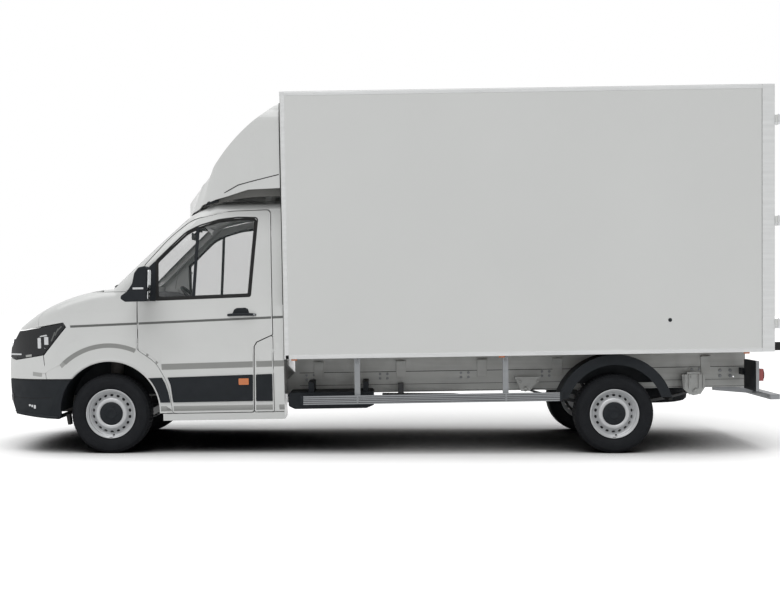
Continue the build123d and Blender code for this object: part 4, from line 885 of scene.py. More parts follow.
def vented_rim(place, corner, body):
    """The pressed steel wheel with its ring of oblong vents and the hub and disc behind."""
    outer = [(220, 98), (219, 87), (205, 84), (203, 56), (184, 42), (184, -30), (203, -50), (205, -84),
             (219, -87),
             (219, -98), (212, -98), (208, -91), (199, -85), (197, -56), (178, -36), (178, 24), (173, 31),
             (153, 45),
             (145, 52), (135, 66), (128, 70), (110, 70), (104, 62), (100, 40), (33, 40), (33, 48), (96, 48),
             (99, 70),
             (107, 78), (112, 80), (128, 80), (133, 78), (141, 72), (149, 60), (154, 55), (174, 41),
             (179, 39),
             (184, 43), (192, 53), (199, 57), (199, 85), (207, 91), (212, 98)]
    steps, vents = 144, 18
    inner_low, inner_high = outer.index((173, 31)), outer.index((153, 45))
    face_low, face_high = outer.index((154, 55)), outer.index((174, 41))
    form = Form(place)
    width = len(outer)
    for i in range(steps):
        for j, (radius, out) in enumerate(outer):
            cell = i % (steps // vents)
            turn = 2 * math.pi * i / steps
            if j in (inner_low, inner_high, face_low, face_high) and cell in (2, 6):
                # Draws the vent's corners in so that its ends are round
                middle = 163.5
                radius, out = radius + (middle - radius) * 0.45, out + ((38 if j < 20 else 48) - out) * 0.45
            form.points.append((radius * math.cos(turn), out, radius * math.sin(turn)))
    for i in range(steps):
        cell, after = i % (steps // vents), (i + 1) % steps
        for j in range(width):
            k = (j + 1) % width
            open_here = 2 <= cell < 6 and j in (inner_low, face_low)
            if not open_here:
                form.faces.append((i * width + j, i * width + k, after * width + k, after * width + j))
        if 2 <= cell < 6:
            for a, b in ((inner_low, face_high), (inner_high, face_low)):
                form.faces.append((i * width + a, i * width + b, after * width + b, after * width + a))
        if cell in (2, 6):
            form.faces.append((i * width + inner_low, i * width + inner_high, i * width + face_low,
                               i * width + face_high))
    form.lathe([(33, 39.7), (78, 39.7), (78, -20), (148, -20), (148, -42), (60, -42), (33, -42)], (0, 0, 0),
               "y", 72,
               ring=True)
    rim = form.piece(f"wheel_disc_{corner}", body, "wheel_steel", bevel=0.8, smooth=50)
    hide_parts(f"rim_{corner}")


def wheel(corner, centre, outward, body):
    """A treaded tyre in place of the plain one, with the wheel's cap, nuts, vent lips and valve."""

    def place(x, y, z):
        """y runs outward from the wheel's middle plane."""
        return Vector((centre.x + x / 1000, centre.y + outward * y / 1000, centre.z + z / 1000))

    carcass = Form(place)
    shoulder = [(206, 83), (222, 84), (232, 100), (238, 106), (241, 106), (244, 108), (262, 114.5),
                (290, 117.4), (300, 117.4), (303, 116), (306, 116.6), (325, 109), (336, 98), (345, 80)]
    section = shoulder + [(345, 60), (344.5, 0), (345, -60)] + [(r, -out) for r, out in reversed(shoulder)]
    carcass.lathe(section, (0, 0, 0), "y", 120, ring=True)
    tyre = carcass.piece(f"tyre_carcass_{corner}", body, "tyre", smooth=60)
    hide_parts(f"tyre_{corner}")
    tread = Form(place)
    blocks, half = 66, 98
    for k in range(blocks):
        turn = 2 * math.pi * k / blocks
        for y0, y1, lean in ((-half, -62, 0.35), (-56, -20, 0), (-14, 14, 0.5), (20, 56, 0),
                             (62, half, -0.35)):
            width = math.pi / blocks * 0.78
            corners = []
            for radius in (352.8, 338):
                for y, lag in ((y0, -lean), (y1, lean)):
                    for edge in (-1, 1):
                        a = turn + edge * width + lag * math.pi / blocks * 0.5
                        drop = 9 if abs(y) > 80 and radius > 350 else 0
                        corners.append(((radius - drop) * math.cos(a), y, (radius - drop) * math.sin(a)))
            tread.brick(corners)
    tread.piece(f"tread_{corner}", body, "tyre")
    walls = Form(place)
    for radius, proud, thick in ((317, 112.5, 2.2), (276, 116.2, 2.0), (250, 109.5, 2.2)):
        walls.lathe([(radius - thick - 2, proud - 3), (radius - thick, proud + 1.0),
                     (radius + thick, proud + 1.0),
                     (radius + thick + 2, proud - 3)], (0, 0, 0), "y", 96, ring=True)
    for k in range(90):
        turn = 2 * math.pi * k / 90
        walls.brick([(radius * math.cos(angle), out + lift, radius * math.sin(angle))
                     for radius, out in ((322, 111.5), (333, 102.5))
                     for angle in (turn - 0.007, turn + 0.007) for lift in (-1.5, 1.4)])
    walls.piece(f"sidewall_{corner}", body, "tyre", smooth=60)
    vented_rim(place, corner, body)
    cap = Form(place)
    cap.lathe([(0, 84), (24, 84), (28, 87), (46, 87), (50, 83), (74, 82), (90, 80), (99, 77), (105, 70),
               (105.5, 66),
               (101, 64), (99, 50), (0, 50)], (0, 0, 0), "y", 72)
    for k in range(5):
        turn = 2 * math.pi * k / 5
        cap.lathe([(0, 87), (9, 87), (11, 84), (11, 70), (0, 70)],
                  (64 * math.cos(turn), 0, 64 * math.sin(turn)),
                  "y", 6)
    cap.piece(f"wheel_cap_{corner}", body, "dark_plastic", bevel=1.2)
    shield = Form(place)
    shield.lathe([(82, 10), (172, 10), (172, 14), (82, 14)], (0, 0, 0), "y", 48, ring=True)
    shield.piece(f"dust_shield_{corner}", body, "frame_steel")
    lips = Form(place)
    lips.lathe([(212, 97.6), (214, 99), (218, 98.8), (220, 97.4), (217, 96)], (0, 0, 0), "y", 96, ring=True)
    lips.piece(f"rim_edge_{corner}", body, "wheel_steel", smooth=60)
    valve = Form(place)
    valve.lathe([(0, 99), (3.4, 99), (4.2, 97), (4.2, 84), (5.5, 80), (6.5, 60), (0, 60)], (20, 0, -189),
                "y", 16)
    valve.piece(f"valve_{corner}", body, "rubber")
    weight = Form(place)
    weight.block(-14, 14, 92, 98.4, -213, -206)
    weight.piece(f"balance_weight_{corner}", body, "cast", bevel=1.2)


WHEEL_CORNERS = [
    (f"{end}_{SIDE_NAMES[hand]}", Vector((hub.x, hand * abs(hub.y), hub.z)), hand,
     f"wheel_{end}_{SIDE_NAMES[hand]}")
    for end, hub in (("front", HUB), ("rear", REAR_HUB)) for hand in (LEFT, RIGHT)
]
for corner, centre, outward, body in WHEEL_CORNERS:
    wheel(corner, centre, outward, body)

# ------------------------------------------------------------------ cab roof, fairing and box


def seam(name, skin, body, path, hand, width=3.5, proud=1.4):
    """A thin dark joint line laid on a skin."""
    line = Form()
    strip(line, skin, path, [(-width, 0.2), (-width * 0.7, proud), (width * 0.7, proud), (width, 0.2)],
          hand)
    line.piece(name, body, "rubber", finish=SEAM)


def between(stops, value):
    """A value read off a line of (place, value) stops."""
    for (a, low), (b, high) in zip(stops, stops[1:]):
        if value <= b:
            return low + (high - low) * max(0, value - a) / (b - a)
    return stops[-1][1]


def fairing_shell():
    """The wind deflector drawn to the photograph: a flatter curve that reaches further over the screen."""
    source = NODES["roof_fairing"]
    mesh = source.data.copy()
    mesh.name = "fairing_shell"
    world = source.matrix_world
    for vertex in mesh.vertices:
        x, y, z = back(world @ vertex.co)
        inward = between([(2380, 0), (2482, 50), (2600, 55), (3125, 55)], z)
        slope = math.radians(between([(2190, 68), (2482, 64), (2685, 57), (2893, 48), (3052, 38),
                                      (3125, 27)], z))
        reach = between([(2242, -49), (2298, -3), (2354, 37), (2410, 48), (2480, 25), (2560, 0)], z)
        reach *= min(1, max(0, (1100 - x) / 220))
        x_new = x + inward * math.sin(slope) * min(1, max(0, (1553 - x) / 150)) + reach
        z_new = z - inward * math.cos(slope)
        roof, below = GLASS_FRONT.reach(x, y, 3300, (0, 0, -1)), GLASS_FRONT.reach(x_new, y, 3300,
                                                                                   (0, 0, -1))
        if z < 2260 and x < 1000 and roof and below:
            gap = z - back(roof[0])[2]
            if gap < 30:
                z_new = back(below[0])[2] + gap
        vertex.co = world.inverted() @ at(x_new, y, z_new)
    made = bpy.data.objects.new("fairing_shell", mesh)
    bpy.context.collection.objects.link(made)
    made.matrix_world = world
    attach(made, BODY_OF["roof_fairing"])
    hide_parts("roof_fairing")


FAIRING = Skin("roof_fairing")
fairing_shell()
for hand in (LEFT, RIGHT):
    side = SIDE_NAMES[hand]
    seam(f"fairing_seam_{side}", FAIRING, "chassis",
         along([(1545, 2441), (1185, 2357), (1000, 2266)], 30), hand, 4)

trim = Form()
for hand in (LEFT, RIGHT):
    side = SIDE_NAMES[hand]
    # Return between the fairing's lower edge and the roof, coloured dark grey as painted shade, and the small lamp
    # at its front
    infill = Form()
    rows = [[(x, hand * y, top), (x, hand * (y - 6), top), (x, hand * (y - 6), low), (x, hand * y, low)]
            for x, y, top, low in ((1556, 960, 2345, 2262), (1400, 960, 2342, 2262),
                                   (1273, 950, 2334, 2255),
                                   (1130, 920, 2300, 2240), (1000, 880, 2262, 2215),
                                   (900, 830, 2222, 2190))]
    infill.grid(rows, closed_columns=True)
    infill.piece(f"fairing_return_{side}", "chassis", "white_paint", smooth=60, finish=PAINTED_RETURN_SHADE)
    moulding(f"roof_lamp_{side}", "chassis", "dark_plastic",
             [(880, 2196), (990, 2222), (990, 2240), (900, 2224)], hand * 872, hand * 938, bevel=6)
    # Gasket between the cab's back and the box, and the box's rounded corner extrusions
    trim.block(BOX_FRONT - 9, BOX_FRONT + 1, hand * 1030, hand * (BOX_SIDE - 14), 1300, BOX_TOP - 98)
trim.block(BOX_FRONT - 9, BOX_FRONT + 1, -1030, 1030, 2330, 2342)
trim.piece("box_gasket", "chassis", "rubber", bevel=3)


def extrusion(name, body, outline, start, end, axis, slot="box_frame", **more):
    """A drawn section, a closed outline in two directions, carried along the third."""
    form = Form()
    rows = []
    for reach in (start, end):
        rows.append([{"x": (reach, a, b), "y": (a, reach, b), "z": (a, b, reach)}[axis] for a,
                     b in outline])
    form.loft(rows)
    return form.piece(name, body, slot, **more)


def corner_section(out_a, out_b, leg, thick, sign_a, sign_b, radius=14):
    """An angle with a rounded heel: its legs run back from a corner along both directions."""
    heel = [(out_a - sign_a * radius * (1 - math.cos(t)), out_b - sign_b * radius * (1 - math.sin(t)))
            for t in (math.pi / 2 * i / 6 for i in range(7))]
    return ([(out_a, out_b - sign_b * leg)] + heel + [(out_a - sign_a * leg, out_b),
            (out_a - sign_a * leg, out_b - sign_b * thick),
                                                      (out_a - sign_a * thick, out_b - sign_b * thick),
            (out_a - sign_a * thick, out_b - sign_b * leg)])


PORTAL_FRONT = 5770
for hand in (LEFT, RIGHT):
    side = SIDE_NAMES[hand]
    lip = BOX_SIDE + 1.2
    # Front upright, roof edge and floor edge
    extrusion(f"box_front_edge_{side}", "chassis",
              corner_section(BOX_FRONT - 1.2, hand * lip, 42, 2.6, -1, hand), BOX_BASE, BOX_TOP + 0.6, "z",
              bevel=1)
    extrusion(f"box_roof_edge_{side}", "chassis",
              corner_section(hand * lip, BOX_TOP + 1.0, 38, 2.6, hand, 1, 10), BOX_FRONT, PORTAL_FRONT, "x",
              bevel=1)
    moulding(f"box_floor_edge_{side}", "chassis", "box_frame",
             [(BOX_FRONT, BOX_BASE - 0.6), (PORTAL_FRONT, BOX_BASE - 0.6), (PORTAL_FRONT, BOX_BASE + 34),
              (BOX_FRONT, BOX_BASE + 34)], hand * (BOX_SIDE - 2), hand * (BOX_SIDE + 1.2),
             bevel=1)
    rivets = Form()
    spots = [(x, hand * (BOX_SIDE + 1.2), z) for x in range(BOX_FRONT + 60, PORTAL_FRONT, 120)
             for z in (BOX_BASE + 17, BOX_TOP - 22)]
    spots += [(PORTAL_FRONT + 14, hand * BOX_SIDE, z) for z in range(BOX_BASE + 70, BOX_TOP - 60, 110)]
    for spot in spots:
        rivets.lathe([(0, hand * 2.4), (3, hand * 2.0), (4.5, hand * 0.4), (4.5, -hand)], spot, "y", 8)
    rivets.piece(f"box_rivets_{side}", "chassis", "box_frame", smooth=60)
    blocks(f"portal_joint_{side}", "chassis", "rubber",
           (PORTAL_FRONT - 3, PORTAL_FRONT, hand * (BOX_SIDE - 1), hand * (BOX_SIDE + 1), BOX_BASE + 2,
            BOX_TOP - 4),
           finish=SEAM)
    # Amber marker lamps along the floor edge, and the cap on the front top corner
    marker = Form()
    for x in (1650, 3480, 5640):
        marker.block(x - 26, x + 26, hand * 1062, hand * 1080, 806, 820.5)
    marker.piece(f"side_markers_{side}", "chassis", "lamp", bevel=3, finish=AMBER)
    blocks(f"box_corner_{side}", "chassis", "box_frame",
           (BOX_FRONT - 2, BOX_FRONT + 42, hand * (BOX_SIDE - 40), hand * (BOX_SIDE + 2), BOX_TOP - 40,
            BOX_TOP + 1.4),
           bevel=5, segments=3)
blocks("box_front_top_edge", "chassis", "box_frame",
       (BOX_FRONT - 2, BOX_FRONT + 1, -BOX_SIDE + 40, BOX_SIDE - 40, BOX_TOP - 36, BOX_TOP), bevel=1)
vent = Form()
vent.lathe([(0, 3.4), (14, 3.4), (17, 1.5), (17, -1)], (4960, 0, 1115), "y", 24)
vent.points = [(x, -(BOX_SIDE + y), z) for x, y, z in vent.points]
vent.piece("box_vent", "chassis", "dark_plastic")

# ------------------------------------------------------------------ rear doors


def rear_door(hand):
    side, body = SIDE_NAMES[hand], f"rear_door_{SIDE_NAMES[hand]}"
    inner, outer = 12, BOX_SIDE - 80
    seal = Form()
    for a0, a1, z0, z1 in ((inner, outer, 917, 927), (inner, outer, 3034, 3044),
                           (inner, inner + 9, 917, 3044),
                           (outer - 9, outer, 917, 3044)):
        seal.block(BOX_BACK - 12, BOX_BACK + 3, hand * a0, hand * a1, z0, z1)
    seal.piece(f"rear_door_seal_{side}", body, "rubber", bevel=2)
    for index, y in enumerate((250, 760)):
        bar = Form()
        bar.tube([(BOX_BACK + 21, hand * y, 925), (BOX_BACK + 21, hand * y, 3036)], 12, 16)
        for z in (960, 1260, 1950, 2640, 2990):
            bar.block(BOX_BACK + 1, BOX_BACK + 24, hand * (y - 32), hand * (y + 32), z - 16, z + 16)
            bar.block(BOX_BACK + 18, BOX_BACK + 35, hand * (y - 17), hand * (y + 17), z - 13, z + 13)
        for z in (925, 3036):
            bar.block(BOX_BACK + 10, BOX_BACK + 35, hand * (y - 22), hand * (y + 10), z - 9, z + 9)
        bar.piece(f"lock_bar_{side}_{index}", body, "alu", bevel=1.5, smooth=50)
        handle = Form()
        handle.tube([(BOX_BACK + 24, hand * (y + 4), 1320), (BOX_BACK + 27, hand * (y - 60), 1318),
                     (BOX_BACK + 27, hand * (y - 170), 1312), (BOX_BACK + 26, hand * (y - 200), 1310)], 8,
                     12)
        handle.block(BOX_BACK + 1, BOX_BACK + 34, hand * (y - 206), hand * (y - 176), 1286, 1334)
        handle.piece(f"lock_handle_{side}_{index}", body, "alu", bevel=2, smooth=50)
    bolts = Form()
    for low in (1050, 1950, 2828):
        for y in (800, 880, 960):
            bolts.lathe([(0, 17), (6, 16), (10, 11), (10, 8)], (BOX_BACK, hand * y, low + 30), "x", 12)
    bolts.piece(f"hinge_bolts_{side}", body, "alu", smooth=50)


for hand in (LEFT, RIGHT):
    rear_door(hand)

# ------------------------------------------------------------------ under the box


def bolt_head(form, x, y, z, hand, radius=11):
    form.lathe([(0, hand * 10), (radius, hand * 10), (radius + 1, hand * 8), (radius + 1, hand * 2)],
               (x, y, z), "y", 6)
    form.lathe([(0, hand * 3), (radius + 5, hand * 3), (radius + 6, 0)], (x, y, z), "y", 16)


RAIL_SIDE = 520
for hand in (LEFT, RIGHT):
    side = SIDE_NAMES[hand]
    lines = Form()
    for z, tall in ((661, 5), (543, 3.5), (480, 3)):
        lines.block(1660, 5780, hand * (RAIL_SIDE - 2), hand * (RAIL_SIDE + 1.4), z - tall / 2,
                    z + tall / 2)
    lines.piece(f"rail_lines_{side}", "chassis", "rubber", finish=SEAM)
    bolts = Form()
    for x in (1760, 2440, 3190, 3940, 4690, 5330):
        for dx in (-34, 34):
            for z in (600, 640):
                bolt_head(bolts, x + dx, hand * (RAIL_SIDE + 1), z, hand, 7)
    for x in (5556, 5650):
        for z in (575, 625):
            bolt_head(bolts, x, hand * (RAIL_SIDE + 1), z, hand, 11)
    bolts.piece(f"rail_bolts_{side}", "chassis", "alu", bevel=0.8)
    ties = Form()
    for x in (1840, 2600, 3350, 4050, 5420):
        ties.block(x - 45, x + 45, hand * RAIL_SIDE, hand * (RAIL_SIDE + 7), 600, 760)
        ties.block(x - 45, x + 45, hand * RAIL_SIDE, hand * (RAIL_SIDE + 46), 755, 763)
    ties.piece(f"body_ties_{side}", "chassis", "frame_grey", bevel=2)
    # Grooved guard rail with its grooves as dark strips of painted shade, its end caps and the joints at its posts
    guard = Form()
    for z in (428, 445, 459, 476):
        guard.block(1712, 4000, hand * 1074, hand * 1076.4, z - 2.2, z + 2.2)
    guard.piece(f"guard_groove_shade_{side}", "chassis", "rubber", finish=SEAM)
    caps = Form()
    for x0, x1 in ((1694, 1724), (3989, 4019)):
        caps.block(x0, x1, hand * 1042, hand * 1078, 410, 494)
    caps.piece(f"guard_caps_{side}", "chassis", "dark_plastic", bevel=5)
    studs = Form()
    for x in (2203, 3515):
        for z in (438, 466):
            bolt_head(studs, x, hand * 1075, z, hand, 7)
        for z in (780, 805):
            bolt_head(studs, x, hand * 1046, z, hand, 7)
    studs.piece(f"guard_bolts_{side}", "chassis", "alu", bevel=0.8)
    # Lamp panel's bright edge and its three round lamps
    blocks(f"lamp_panel_edge_{side}", "chassis", "alu",
           (LAMP_PANEL - 27, LAMP_PANEL + 1, hand * 1004, hand * 1007, 466, 735), bevel=1)
    for lamp, finish, places in (("red", None, (940, 740)), ("amber", AMBER, (840,))):
        lens = Form()
        for y in places:
            lens.lathe([(0, 53), (30, 52), (43, 48), (47, 44)], (LAMP_PANEL, hand * y, 611), "x", 32)
            for radius in (14, 26, 38):
                lens.lathe([(radius - 1.5, 50), (radius, 54 - radius / 14), (radius + 1.5, 50)],
                           (LAMP_PANEL, hand * y, 611), "x", 32, ring=True)
        lens.piece(f"round_{lamp}_lamps_{side}", "chassis", "red_lamp", smooth=60, finish=finish)
    rims = Form()
    for y in (940, 840, 740):
        rims.lathe([(46, 42), (46, 50), (48, 53), (49.6, 52), (49.6, 42)], (LAMP_PANEL, hand * y, 611), "x",
                   40,
                   ring=True)
    rims.piece(f"lamp_rims_{side}", "chassis", "dark_plastic", smooth=60)
    springs = Form()
    for x, z in ((3690, 560), (3850, 560), (5262, 575), (5322, 575)):
        bolt_head(springs, x, hand * 627, z, hand, 9)
    for x, z in ((3741, 490), (5302, 456)):
        springs.lathe([(0, hand * 20), (16, hand * 20), (19, hand * 16), (19, 0)], (x, hand * 626, z), "y",
                      6)
    springs.piece(f"spring_bolts_{side}", "chassis", "frame_grey", bevel=1)
    # Ribbed cover over the rear shackle
    cover = Form()
    cover.prism([(5178, 600), (5392, 600), (5388, 478), (5348, 418), (5245, 414), (5186, 470)],
                hand * 626, hand * 632)
    for x in (5200, 5240, 5330, 5370):
        cover.block(x - 5, x + 5, hand * 631, hand * 642, 470, 596)
    bolt_head(cover, 5285, hand * 632, 447, hand, 11)
    cover.piece(f"shackle_cover_{side}", "chassis", "frame_grey", bevel=2)
    liner = Form()
    rows = []
    for i in range(41):
        t = math.radians(16 + 148 * i / 40)
        rows.append([(4490 + (514 + d) * math.cos(t), hand * y, 287 + (514 + d) * math.sin(t))
                     for y, d in ((764, 0), (770, 2), (996, 2), (1002, 0), (1002, -3), (764, -3))])
    liner.grid(rows, closed_columns=True)
    liner.prism(arc(513, range(30, 151, 4), (4490, 287)), hand * 752, hand * 757)
    liner.piece(f"mudguard_liner_{side}", "chassis", "dark_plastic", smooth=60)
    blocks(f"mudguard_lip_{side}", "chassis", "rubber",
           (4968, 5000, hand * 765, hand * 1006, 398, 424), bevel=3)
    moulding(f"splash_flap_{side}", "chassis", "rubber",
             [(-398, 352), (-366, 352), (-358, 262), (-384, 262)], hand * 905, hand * 985, bevel=3)
    dampers = Form()
    dampers.tube([(4395, hand * 500, 330), (4250, hand * 498, 560)], 26, 20)
    dampers.tube([(4410, hand * 500, 305), (4395, hand * 500, 330)], 15, 16)
    dampers.piece(f"rear_damper_{side}", "chassis", "frame_steel", bevel=1.5, smooth=50)

# ------------------------------------------------------------------ seats and cabin


def cushion(name, centre, along_axis, half, crown, bolster, seams, bands=(), soft=5.0):
    """A stuffed pad: a rounded block, crowned on its face, raised at its sides, drawn in along seams.

    half gives its half length, half width and half depth; along_axis leans its length in side view."""
    ahead = Vector((along_axis[0], 0, along_axis[1])).normalized()
    up = Vector((-ahead.z, 0, ahead.x))
    length, width, depth = half
    block = bmesh.new()
    bmesh.ops.create_cube(block, size=2)
    bmesh.ops.subdivide_edges(block, edges=block.edges[:], cuts=31, use_grid_fill=True)
    for v in block.verts:
        p = v.co
        norm = (abs(p.x) ** soft + abs(p.y) ** soft + abs(p.z) ** soft) ** (1 / soft)
        p = p / norm
        top = max(0.0, p.z)
        rise = crown * top * (1 - p.x ** 4) * (1 - p.y ** 4)
        rise += bolster * top * max(0.0, (abs(p.y) - 0.62) / 0.38) ** 1.3 * (1 - p.x ** 6)
        for y0 in seams:
            rise -= 9 * top * math.exp(-(((p.y - y0) * width) / 7) ** 2)
        for x0 in bands:
            rise -= 8 * top * math.exp(-(((p.x - x0) * length) / 7) ** 2)
        # Slight pull and slack of the cloth
        rise += 1.3 * top * math.sin(p.x * 9 + 2 * p.y) * math.sin(p.y * 7 - p.x)
        spot = Vector(centre) + ahead * (p.x * length) + Vector((0, p.y * width,
                                                                 0)) + up * (p.z * depth + rise)
        v.co = at(*spot)
    mesh = bpy.data.meshes.new(name)
    block.to_mesh(mesh)
    block.free()
    mesh.materials.append(FINISHES["seat_fabric"])
    mesh.shade_smooth()
    made = bpy.data.objects.new(name, mesh)
    bpy.context.collection.objects.link(made)
    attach(made, "chassis")
    # Piped welt round the face
    welt = Form()
    path = []
    for i in range(73):
        t = 2 * math.pi * i / 72
        x, y = math.cos(t), math.sin(t)
        scale = 1 / (abs(x) ** soft + abs(y) ** soft) ** (1 / soft)
        x, y, z = x * scale, y * scale, 0.62
        norm = (abs(x) ** soft + abs(y) ** soft + z ** soft) ** (1 / soft)
        x, y, z = x / norm, y / norm, z / norm
        lift = bolster * z * max(0.0, (abs(y) - 0.62) / 0.38) ** 1.3 * (1 - x ** 6)
        path.append(Vector(centre) + ahead * (x * length * 1.004) + Vector((0, y * width * 1.006, 0))
                    + up * (z * depth + lift))
    welt.tube(path, 3.2, 8)
    welt.piece(f"{name}_piping", "chassis", "rubber", smooth=60)
    return made


def seat(name, node, left, right, places):
    width = (right - left) / 2
    middle = (left + right) / 2
    seams = [-0.56, 0.56] if places == 1 else [-0.78, -0.06, 0.06, 0.78]
    base = cushion(f"{name}_cushion", (1096, middle, 1004), (1, -0.06), (246, width, 76), 20, 22, seams,
                   (-0.45,))
    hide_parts(node)
    cushion(f"{name}_back", (1362, middle, 1390), (0.135, 1), (345, width - 6, 58), 16, 24, seams,
            (-0.1, 0.5))
    for k in range(places):
        y = middle if places == 1 else middle + (k - 0.5) * width
        cushion(f"{name}_headrest_{k}", (1432, y, 1838), (0.08, 1), (92, 128, 46), 8, 0, (), (), 3.6)
        posts = Form()
        for dy in (-55, 55):
            posts.tube([(1420, y + dy, 1700), (1430, y + dy, 1800)], 7, 12)
        posts.piece(f"{name}_posts_{k}", "chassis", "alu", smooth=60)
    moulding(f"{name}_shell", "chassis", "cabin_plastic",
             [(1400, 1075), (1425, 1075), (1498, 1720), (1470, 1720)], left + 18, right - 18,
             bevel=14, segments=4)
    recline = Form()
    for y in (left - 2, right + 2):
        recline.prism(rounded([(1180, 940), (1400, 940), (1420, 1120), (1330, 1140), (1200, 1010)], 20, 4),
                      y - 12, y + 12)
    recline.piece(f"{name}_side_covers", "chassis", "cabin_plastic", bevel=5)


seat("driver_seat", "driver_seat", -636, -164, 1)
seat("bench_seat", "bench_seat", -116, 636, 2)


def belt(index, y, hip):
    """A webbing strap hanging from the pillar to the seat's side."""
    strap = Form()
    path = [(1492, y, 1800), (1470, y + 0.12 * (hip - y), 1560), (1452, y + 0.4 * (hip - y), 1300),
            (1420, hip, 1060), (1400, hip, 990)]
    rows = []
    for x, yy, z in path:
        rows.append([(x - 23, yy - 0.8, z), (x + 23, yy - 0.8, z), (x + 23, yy + 0.8, z),
                     (x - 23, yy + 0.8, z)])
    strap.loft(rows)
    strap.piece(f"belt_{index}", "chassis", "seat_fabric")
    blocks(f"belt_anchor_{index}", "chassis", "cabin_plastic",
           (1466, 1516, y - 16, y + 16, 1780, 1842), bevel=7)


belt(0, -880, -668)
belt(1, 880, 668)

moulding("cluster_hood", "chassis", "cabin_plastic",
         rounded([(420, 1392), (560, 1352), (604, 1300), (600, 1290), (430, 1360)], 14, 4), -560, -240,
         bevel=8, segments=3)
dials = Form()
for y in (-470, -330):
    dials.lathe([(0, 3), (50, 3), (54, 6), (58, 6), (58, 0)], (608, y, 1268), "x", 40)
dials.piece("cluster_dials", "chassis", "lamp", finish=LENS_EDGE)
blocks("centre_screen", "chassis", "lamp", (612, 634, -95, 115, 1170, 1300), bevel=5, finish=LENS_EDGE)
vents = Form()
for y in (-760, -170, 190, 760):
    for k in range(5):
        vents.block(600, 634, y - 58, y + 58, 1196 + k * 14, 1200 + k * 14)
    vents.block(602, 630, y - 66, y - 59, 1186, 1264)
    vents.block(602, 630, y + 59, y + 66, 1186, 1264)
vents.piece("dash_vents", "chassis", "cabin_plastic", bevel=1.5)
moulding("gear_console", "chassis", "cabin_plastic",
         rounded([(560, 960), (700, 960), (735, 1080), (640, 1150), (560, 1120)], 24, 4), -110, 130,
         bevel=12, segments=3)
lever = Form()
lever.tube([(690, 10, 1110), (712, 10, 1215)], 9, 12)
lever.lathe([(0, -34), (18, -30), (25, -12), (27, 10), (22, 26), (10, 34), (0, 35)], (716, 10, 1240), "z",
            24)
lever.piece("gear_lever", "chassis", "rubber", smooth=60)
pedals = Form()
for y, wide in ((-470, 46), (-400, 52), (-300, 38)):
    pedals.prism([(330, 790), (342, 796), (300, 880), (288, 874)], y - wide / 2, y + wide / 2)
    pedals.tube([(300, y, 850), (240, y, 1000)], 7, 8)
pedals.piece("pedals", "chassis", "rubber", bevel=3)
visors = Form()
for y in (-400, 400):
    visors.prism([(700, 2096), (870, 2136), (868, 2146), (698, 2110)], y - 230, y + 230)
visors.piece("sun_visors", "chassis", "seat_fabric", bevel=5)
for hand in (LEFT, RIGHT):
    side, body = SIDE_NAMES[hand], DOORS[hand]
    moulding(f"door_card_{side}", body, "cabin_plastic",
             rounded([(560, 700), (1240, 700), (1250, 1330), (330, 1330), (330, 960)], 40, 4), hand * 948,
             hand * 960,
             bevel=4)
    moulding(f"armrest_{side}", body, "cabin_plastic",
             rounded([(700, 1120), (1180, 1150), (1190, 1205), (700, 1180)], 18, 4), hand * 880, hand * 950,
             bevel=10, segments=3)
    moulding(f"door_pocket_{side}", body, "cabin_plastic",
             rounded(oblong(620, 1180, 740, 900), 30, 4), hand * 890, hand * 949, bevel=10, segments=3)
    pull = Form()
    pull.tube([(930, hand * 946, 1260), (940, hand * 922, 1262), (1040, hand * 920, 1268),
               (1052, hand * 946, 1270)], 8, 12)
    pull.piece(f"inner_handle_{side}", body, "alu", smooth=60)

# ------------------------------------------------------------------ camera, light and floor


def seen_directly(nodes, links):
    """1 where the eye, a mirror or glass looks, 0 for the light that falls on the truck."""
    path = nodes.new("ShaderNodeLightPath")
    total = path.outputs["Is Camera Ray"]
    for ray in ("Is Glossy Ray", "Is Transmission Ray"):
        either = nodes.new("ShaderNodeMath")
        either.operation = "MAXIMUM"
        links.new(total, either.inputs[0])
        links.new(path.outputs[ray], either.inputs[1])
        total = either.outputs[0]
    return total


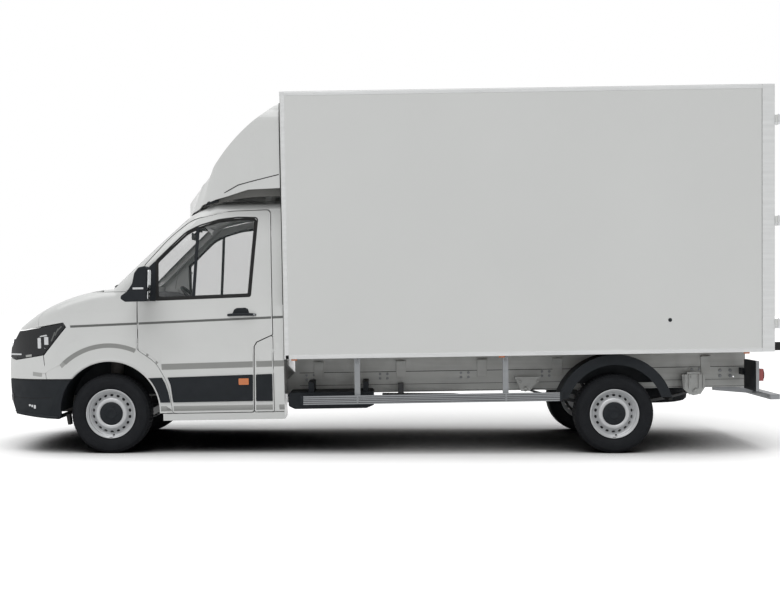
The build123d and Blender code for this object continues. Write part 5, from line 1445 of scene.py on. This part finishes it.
def ground_finish():
    """A white studio floor with a painted contact shadow: its colour darkens close under the truck by ambient
    occlusion.
    """
    ground = Finish("floor", 0.9)
    nodes, links = ground.nodes, ground.links
    nodes.remove(ground.shader)
    matt = nodes.new("ShaderNodeBsdfDiffuse")
    links.new(matt.outputs["BSDF"], nodes["Material Output"].inputs["Surface"])
    # Painted shadow: the floor's colour is darkened by ambient occlusion near the truck
    cover = nodes.new("ShaderNodeAmbientOcclusion")
    cover.inputs["Distance"].default_value = 1.6
    cover.samples = 12
    painted_contact_shadow = ground.ramp(cover.outputs["AO"], [(0.18, (0.008, 0.008, 0.009)), (0.74, (0.9, 0.9, 0.9))])
    gain = nodes.new("ShaderNodeMapRange")
    gain.inputs["To Min"].default_value = 0.85
    gain.inputs["To Max"].default_value = 1.45
    links.new(seen_directly(nodes, links), gain.inputs["Value"])
    lift = nodes.new("ShaderNodeVectorMath")
    lift.operation = "SCALE"
    links.new(painted_contact_shadow, lift.inputs[0])
    links.new(gain.outputs["Result"], lift.inputs["Scale"])
    links.new(lift.outputs["Vector"], matt.inputs["Color"])
    return ground.material


def floor_and_light():
    mesh = bpy.data.meshes.new("floor")
    reach = 60
    mesh.from_pydata([(-reach, -reach, 0), (reach, -reach, 0), (reach, reach, 0), (-reach, reach, 0)], [],
                     [(0, 1, 2, 3)])
    floor = bpy.data.objects.new("floor", mesh)
    bpy.context.collection.objects.link(floor)
    mesh.materials.append(ground_finish())
    for name, energy, turn, spread in (
        ("key", 1.17, (math.radians(38), 0, math.radians(-18)), 50),
        ("fill", 0.82, (math.radians(6), 0, math.radians(160)), 70),
    ):
        lamp = bpy.data.lights.new(name, "SUN")
        lamp.energy = energy
        lamp.angle = math.radians(spread)
        sun = bpy.data.objects.new(name, lamp)
        sun.rotation_euler = turn
        bpy.context.collection.objects.link(sun)
    world = bpy.data.worlds.new("studio")
    bpy.context.scene.world = world
    world.use_nodes = True
    nodes, links = world.node_tree.nodes, world.node_tree.links
    level = nodes.new("ShaderNodeMapRange")
    level.inputs["To Min"].default_value = 0.375
    level.inputs["To Max"].default_value = 1.0
    links.new(seen_directly(nodes, links), level.inputs["Value"])
    links.new(level.outputs["Result"], nodes["Background"].inputs["Strength"])
    nodes["Background"].inputs["Color"].default_value = (1, 1, 1, 1)


def camera():
    """Stands off the left side at eye level, a little behind mid-wheelbase, looking slightly down."""
    data = bpy.data.cameras.new("camera")
    data.sensor_width = 36
    data.lens = 57.32
    data.shift_x = 0.0173
    data.shift_y = 0.066
    data.clip_end = 200
    viewer = bpy.data.objects.new("camera", data)
    viewer.location = (HUB.x + 2.368, -12.01, 1.449)
    viewer.rotation_euler = (math.radians(90 - 2.8), 0, 0)
    bpy.context.collection.objects.link(viewer)
    bpy.context.scene.camera = viewer


floor_and_light()
camera()
bpy.context.scene.view_settings.view_transform = "Standard"
